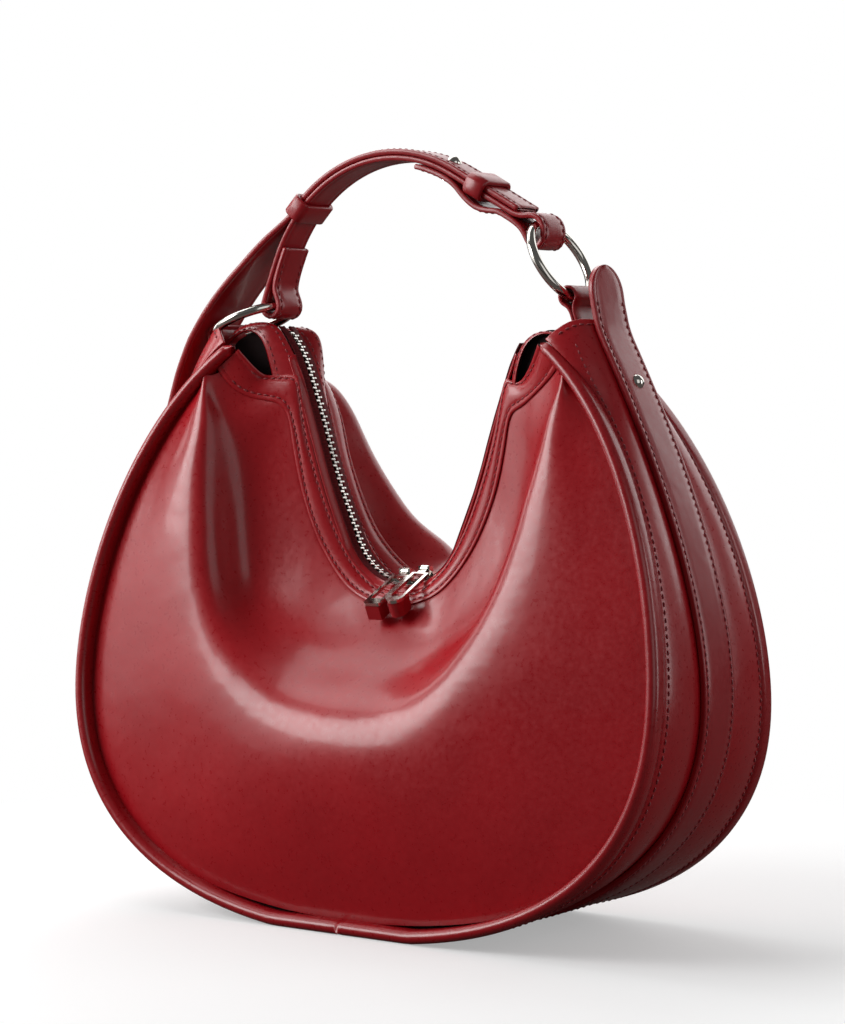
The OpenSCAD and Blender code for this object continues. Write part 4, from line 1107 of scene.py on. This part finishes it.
def tail_width(s, p):
    """Half the tail's width: the belt's, widest where it leaves the bag, then the strap's."""
    return np.where(p[:, 1] > TAIL_FROM_Z, np.interp(p[:, 0], TAIL_X, TAIL_HALF), BELT_W / 2)


print("tail line", round(length_of(tail_line)), "mm long")

# %% [markdown]
# ** Belt pieces.** The right half and the tongue are fixed to the bag. The left half and the tail are one piece, not split at the horn; it and its thread are baked in place and ride on no body.


def tip_distances(first, count):
    """Distances from the tip that divide its half circle by equal angles."""
    return BELT_W / 2 * (1 - np.cos(np.linspace(first, math.pi / 2, count)))


right_line = smoothed(right_belt, 2)
right_line = at_lengths(right_line, np.concatenate([
    tip_distances(0, 14), np.linspace(13, length_of(right_line), 220)]))
straight_s = strap_stations(length_of(right_line))
tongue_s = np.unique(np.concatenate([tip_distances(0.12, 12), straight_s[straight_s > 12.5]]))
made, info = strap("belt_right_half", right_line, tongue_width, BELT_T, s=tongue_s)
settle(made, "bag", "strap_leather", "belt")
strap_stitches("belt_right", info, 11, "bag")

made, info = strap("belt_left_half_and_tail", tail_line, tail_width, 2.5)
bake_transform(made)
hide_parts("belt_tail")
for thread in strap_stitches("belt_left", info, 2, None):
    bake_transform(thread)
print("belt", round(length_of(right_line) + length_of(tail_line)), "mm long")

# %% [markdown]
# ## Handle strap
# Under the tail runs one strap of the same calf, folded round both rings. At the
# right its turned end bulges below the keeper; at the left the two plies run down to
# the ring and are boxed with a line of thread. Separate loops at the rings would show
# joints; one line through the whole strap keeps its length and its thread true.

# %% Handle strap line
WIRE_R, RING_R = 2.0, 18.0
LEAN, TILT = math.radians(30), math.radians(22)
right_wire, left_wire = np.array([86.1, 266.8]), np.array([-102.7, 252.9])
right_way = np.array([-math.sin(LEAN), math.cos(LEAN)])
left_way = unit_at(TILT)
right_top, left_top = right_wire + right_way * 2 * RING_R, left_wire + left_way * 2 * RING_R
SAG = RING_R - math.sqrt(RING_R ** 2 - STRAP_W ** 2 / 4)
SLANT = WIRE_R * (RING_R / (RING_R - SAG) - 1)
LOOP_R = WIRE_R + SAG / 2 + SLANT + LIE_GAP / 2
hold_r = LOOP_R + PLY_T / 2
fold_r = hold_r - SLANT
LEFT_MAIN = np.array([[-0.45, 1.6], [0.2, 3.3], [0.97, 5.2]])
LEFT_TURNED = np.array([[1.9, 5.8], [1.56, 5.05], [0.84, 3.25], [0.48, 1.75], [0.74, 1]])
RIGHT_FOLD = np.array([
    [-1.2, 0.81], [-0.57, 0.84], [0.05, 0.79], [0.72, 0.43], [1.15, -0.36], [1.15, -1.29],
    [0.72, -2.04], [0.14, -2.19], [-0.43, -1.76], [-1.11, -0.57], [-1.92, 0.16]])
BULGE_RUN = np.array([
    [0.85, 0], [0.76, 0.1], [0.66, 0.75], [0.56, 1.33], [0.445, 1.54], [0.333, 1.3],
    [0.235, 0.92], [0.14, 0.4], [0.04, 0.08]])
main_r = top_r - PLY_T - LIE_GAP
turned_r = main_r - PLY_T - LIE_GAP


def round_point(centre, radius, degrees):
    """Points on a circle in the x-z plane at angles from +x."""
    return centre + radius * unit_at(np.radians(np.atleast_1d(degrees)))


def strap_line():
    """One line through the whole strap: turned end, left ring, arch, run, right ring, bulge,
    turned end."""
    wl, wr = left_top - left_way * SAG / 2, right_top
    bulge = on_run(turned_r - BULGE_RUN[:, 1] * PLY_T, BULGE_RUN[:, 0] * RUN_L)
    line = np.vstack([
        through(np.vstack([wl + fold_r * LEFT_TURNED, round_point(wl, hold_r, [22, 5])]), 4),
        round_point(wl, hold_r, np.linspace(-10, -175, 15)),
        through(np.vstack([wl + fold_r * LEFT_MAIN, on_arch(main_r, -62)]), 4),
        on_arch(main_r, np.linspace(-60, 29, 37)),
        on_run(main_r, RUN_L / 2),
        through(np.vstack([on_run(main_r, np.array([0.9, 0.98]) * RUN_L),
                           wr + fold_r * RIGHT_FOLD, bulge, on_arch(turned_r, 27)]), 4),
        on_arch(turned_r, np.linspace(26, 12, 9))])
    return resampled(line, 480, 6)


handle_line = strap_line()
made, info = strap("handle_strap_leather", handle_line, STRAP_W / 2, 2.3, groove=2.0, step=1.6)
settle(made, "handle", "strap_leather", "handle_strap")
strap_stitches("handle_strap", info, 3, "handle")
print("handle strap", round(length_of(handle_line)), "mm long")

# %% [markdown]
# **Keepers.** Two closed loops of calf hold the plies together: one on the arch, one
# on the straight run. Their outer face is slightly domed. Each could be cut from a
# block; a small section carried round a rounded rectangle closes on itself and keeps
# one thickness.

# %% Keepers: flat loops round the plies
def loop_of(half_a, half_b, corner, count=6):
    """A rounded rectangle as a closed line, counter-clockwise from the right side."""
    arcs = []
    for k, (sa, sb) in enumerate(((1, 1), (-1, 1), (-1, -1), (1, -1))):
        turn = np.radians(np.linspace(90 * k, 90 * k + 90, count))
        arcs.append(np.stack([sa * (half_a - corner) + corner * np.cos(turn),
                              sb * (half_b - corner) + corner * np.sin(turn)], 1))
    return np.vstack(arcs)


def closed_band(loop, half_w, half_t, edge_r, dome=1.0):
    """Section rows round a closed loop: a rounded rectangle, half_w along the strap, half_t
    thick, with a domed outer face."""
    way = unit_rows(np.roll(loop, -1, 0) - np.roll(loop, 1, 0))
    section = loop_of(half_w, half_t, edge_r, 3)
    section[:, 1] += dome * (1 - (section[:, 0] / half_w) ** 2) * (section[:, 1] > 0)
    at = loop[:, None] - left_of(way)[:, None] * section[None, :, 1:2]
    return np.concatenate([np.broadcast_to(section[None, :, 0:1], at.shape[:2] + (1,)), at], -1)


def to_strap_frame(points, place, degrees):
    """Local x along the strap, y across and z outwards, turned about Y and moved to a place."""
    a = math.radians(degrees)
    x, y, z = points[..., 0], points[..., 1], points[..., 2]
    return np.stack([place[0] + x * math.cos(a) + z * math.sin(a), y,
                     place[1] - x * math.sin(a) + z * math.cos(a)], -1)


KEEPER_W, KEEPER_T = 9.6, 1.8
stack = 2 * PLY_T + LIE_GAP
keeper_loop = loop_of(STRAP_W / 2 + LIE_GAP + KEEPER_T / 2, stack / 2 + LIE_GAP + KEEPER_T / 2, 2.4)
keeper_rows = closed_band(keeper_loop, KEEPER_W / 2, KEEPER_T / 2, 0.6) - [0, 0, stack / 2]
LEFT_KEEPER, RIGHT_KEEPER = -46.5, 14.0  # degrees on the arch, mm along the run
for side, place, degrees in (
        ("left", on_arch(ARCH_R, LEFT_KEEPER)[0], LEFT_KEEPER),
        ("right", on_run(ARCH_R, RIGHT_KEEPER)[0], math.degrees(ARCH_END))):
    made = swept(f"{side}_keeper_leather", to_strap_frame(keeper_rows, place, degrees),
                 strap_leather, ends=False)
    settle(made, f"keeper_{side[0]}", "strap_leather", f"keeper_{side}")
print("keeper loop", round(length_of(keeper_loop)), "mm")

# %% [markdown]
# **Ring tabs.** A thin ply comes up from each horn, goes round the ring's wire and
# runs back down beside itself. It is the same leather cut thinner, so the straps'
# function makes it, without groove or crown.

# %% Ring tabs
TAB_T, TAB_FOOT_Z, TAB_SPREAD = 1.2, 243.2, 0.42


def tab_line(wire, way, foot_x):
    """A tab's ply as one line: up from the horn, round the wire, and back down beside itself."""
    c = wire + way * SAG / 2
    foot = np.array([foot_x, TAB_FOOT_Z])
    down = (foot - c) / np.linalg.norm(foot - c)
    off = np.array([-down[1], down[0]]) * (TAB_T / 2 + LIE_GAP / 2)
    start = math.atan2(down[1], down[0])
    radius = LOOP_R + TAB_T / 2
    turn = np.linspace(start + TAB_SPREAD, start + 2 * math.pi - TAB_SPREAD, 33)
    ring = c + radius * unit_at(turn)
    near = c + down * (radius + 2.5)
    line = np.vstack([foot + off, near + off, ring, near - off, foot - off])
    return resampled(line, 120, 4)


for side, wire, way, foot_x in (("right", right_wire, right_way, 94.0),
                                ("left", left_wire, left_way, -97.6)):
    line = tab_line(wire, way, foot_x)
    made, _ = strap(f"{side}_ring_tab_leather", line, STRAP_W / 2, TAB_T, edge_r=0.5,
                    groove=0, crown=0, step=1.2)
    settle(made, "handle", "strap_leather", f"ring_tab_{side}")
    print(side, "tab", round(length_of(line)), "mm long")

# %% [markdown]
# ## Zip
# Two woven tapes carry cast teeth at a 3 mm pitch, set alternately. Two sliders have
# met at the bottom of the mouth, each with its pull. A picture of a zip would do from
# afar, but here each tooth catches its own light, so the teeth are real and the tapes
# are thin bands that carry them.

# %% Zip line and tapes
ZIP_CUT = 11  # the right end runs on under the horn's leather
zip_line = np.vstack([zip_half[:0:-1] * [-1, 1], zip_half])
zip_line = resampled(zip_line, 300, 4, cut=ZIP_CUT)
zip_way = unit_rows(np.gradient(zip_line, axis=0))
zip_up = left_of(zip_way)


def tape_rows(side):
    """A woven tape: a thin band beside the teeth with a corded edge that the teeth grip."""
    half = np.array([[1.7, 0.45], [2.2, 0.6], [2.8, 0.3], [5.4, 0.3]])
    corner = np.vstack([half, half[::-1] * [1, -1]])
    return carried(zip_line, zip_up, -corner[:, 0] * SIDES[side], corner[None, :, 1])


for side in SIDES:
    settle(swept(f"{side}_zip_tape_weave", tape_rows(side), tape_cloth),
           "bag", "zip_tape", f"zip_tape_{side}")
print("zip", round(length_of(zip_line)), "mm long")

# %% [markdown]
# **Teeth.** Each tooth is two chamfered blocks: a head that meshes at the middle and
# a grip on the tape's cord. The two rows are half a pitch apart. Copies of one object
# would be lighter, but a whole row bends along one line as one mesh, and 52 faces to
# a tooth are few.

# %% Teeth
TOOTH_PITCH = 3.0


def rounded_block(half, chamfer):
    """A block with chamfered edges and corners: 24 points, three for each corner, which are
    numbered by the signs of x, y and z."""
    signs = np.array([(a, b, c) for a in (-1, 1) for b in (-1, 1) for c in (-1, 1)])
    points = (signs[:, None] * (np.array(half) - chamfer * (1 - np.eye(3)))).reshape(-1, 3)

    def corner(axis, a, u, v):
        return 3 * int((np.roll([a, u, v], axis) > 0) @ [4, 2, 1])

    faces = []
    for axis in range(3):
        last = (axis + 2) % 3
        for a in (-1, 1):
            ring = [corner(axis, a, u, v) + axis for u, v in ((-1, -1), (1, -1), (1, 1), (-1, 1))]
            faces.append(ring[::a])
            for v in (-1, 1):
                one, two = corner(axis, a, -1, v), corner(axis, a, 1, v)
                faces.append([one + axis, two + axis, two + last, one + last][::-a * v])
    faces += [[3 * k, 3 * k + 1, 3 * k + 2][::int(sign.prod())] for k, sign in enumerate(signs)]
    return points, faces


def teeth_piece(side):
    """Blocks at an even pitch along the zip; the back row is moved on by half a pitch."""
    total = length_of(zip_line)
    count = int((total - 3 * TOOTH_PITCH) // TOOTH_PITCH)
    s = (total - count * TOOTH_PITCH) / 2 + np.arange(count) * TOOTH_PITCH
    s = s + (TOOTH_PITCH / 2 if side == "back" else 0)
    p = at_lengths(zip_line, s)
    way = way_at(zip_line, s, 0.5)
    head, head_faces = rounded_block((0.64, 0.75, 1.05), 0.22)
    grip, grip_faces = rounded_block((0.5, 0.8, 1.2), 0.2)
    block = np.concatenate([head + [0, 0.15, 0], grip + [0, 1.55, 0]])
    faces = head_faces + [[k + len(head) for k in f] for f in grip_faces]
    xz = (p[:, None] + way[:, None] * block[None, :, 0:1]
          + left_of(way)[:, None] * block[None, :, 2:3])
    y = np.broadcast_to(-SIDES[side] * block[None, :, 1], xz.shape[:2])
    points = np.stack([xz[..., 0], y, xz[..., 1]], -1)
    every = [[k + row * len(block) for k in f] for row in range(count) for f in faces]
    made = piece(f"{side}_zip_teeth_cast", points, every, tooth_nickel, closed=False)
    made.data.polygons.foreach_set("use_smooth", np.zeros(len(made.data.polygons), bool))
    return faces_out(made)


for side in SIDES:
    settle(teeth_piece(side), "bag", "bright_metal", f"zip_teeth_{side}")
print("teeth", 2 * int((length_of(zip_line) - 3 * TOOTH_PITCH) // TOOTH_PITCH))

# %% [markdown]
# ## Carried-over pieces
# Rings, studs, sliders and pulls keep their exact CAD shapes and get the nickel. Cast
# metal has no stretch or fold that the solid lacks, so nothing is gained by modelling
# it again. Lining and base board take their cloth and board, and the leather that is
# left takes the straps' finish.

# %% Materials for CAD nodes
CARRIED_OVER = (
    (("ring_left", "ring_right", "belt_stud", "handle_stud", "slider", "pull_frame"),
     bright_nickel),
    (("lining", "slip"), lining_cloth),
    (("base",), base_fibre),
    # The tab anchors take the darker calf, which is painted shade.
    (("tab_anchor",), shaded_calf),
    (("",), strap_leather))
for name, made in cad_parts.items():
    look = next(look for starts, look in CARRIED_OVER if name.startswith(starts))
    made.data.materials.clear()
    made.data.materials.append(look)
print("CAD nodes dressed", len(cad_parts))

# %% [markdown]
# ## Size and finish
# The visual model should stay inside the CAD model's box, give or take what soft leather may stand
# proud, so its own box is printed.

# %% Sizes
low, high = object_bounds()
print("visual box", [round(x, 4) for x in low], [round(x, 4) for x in high])
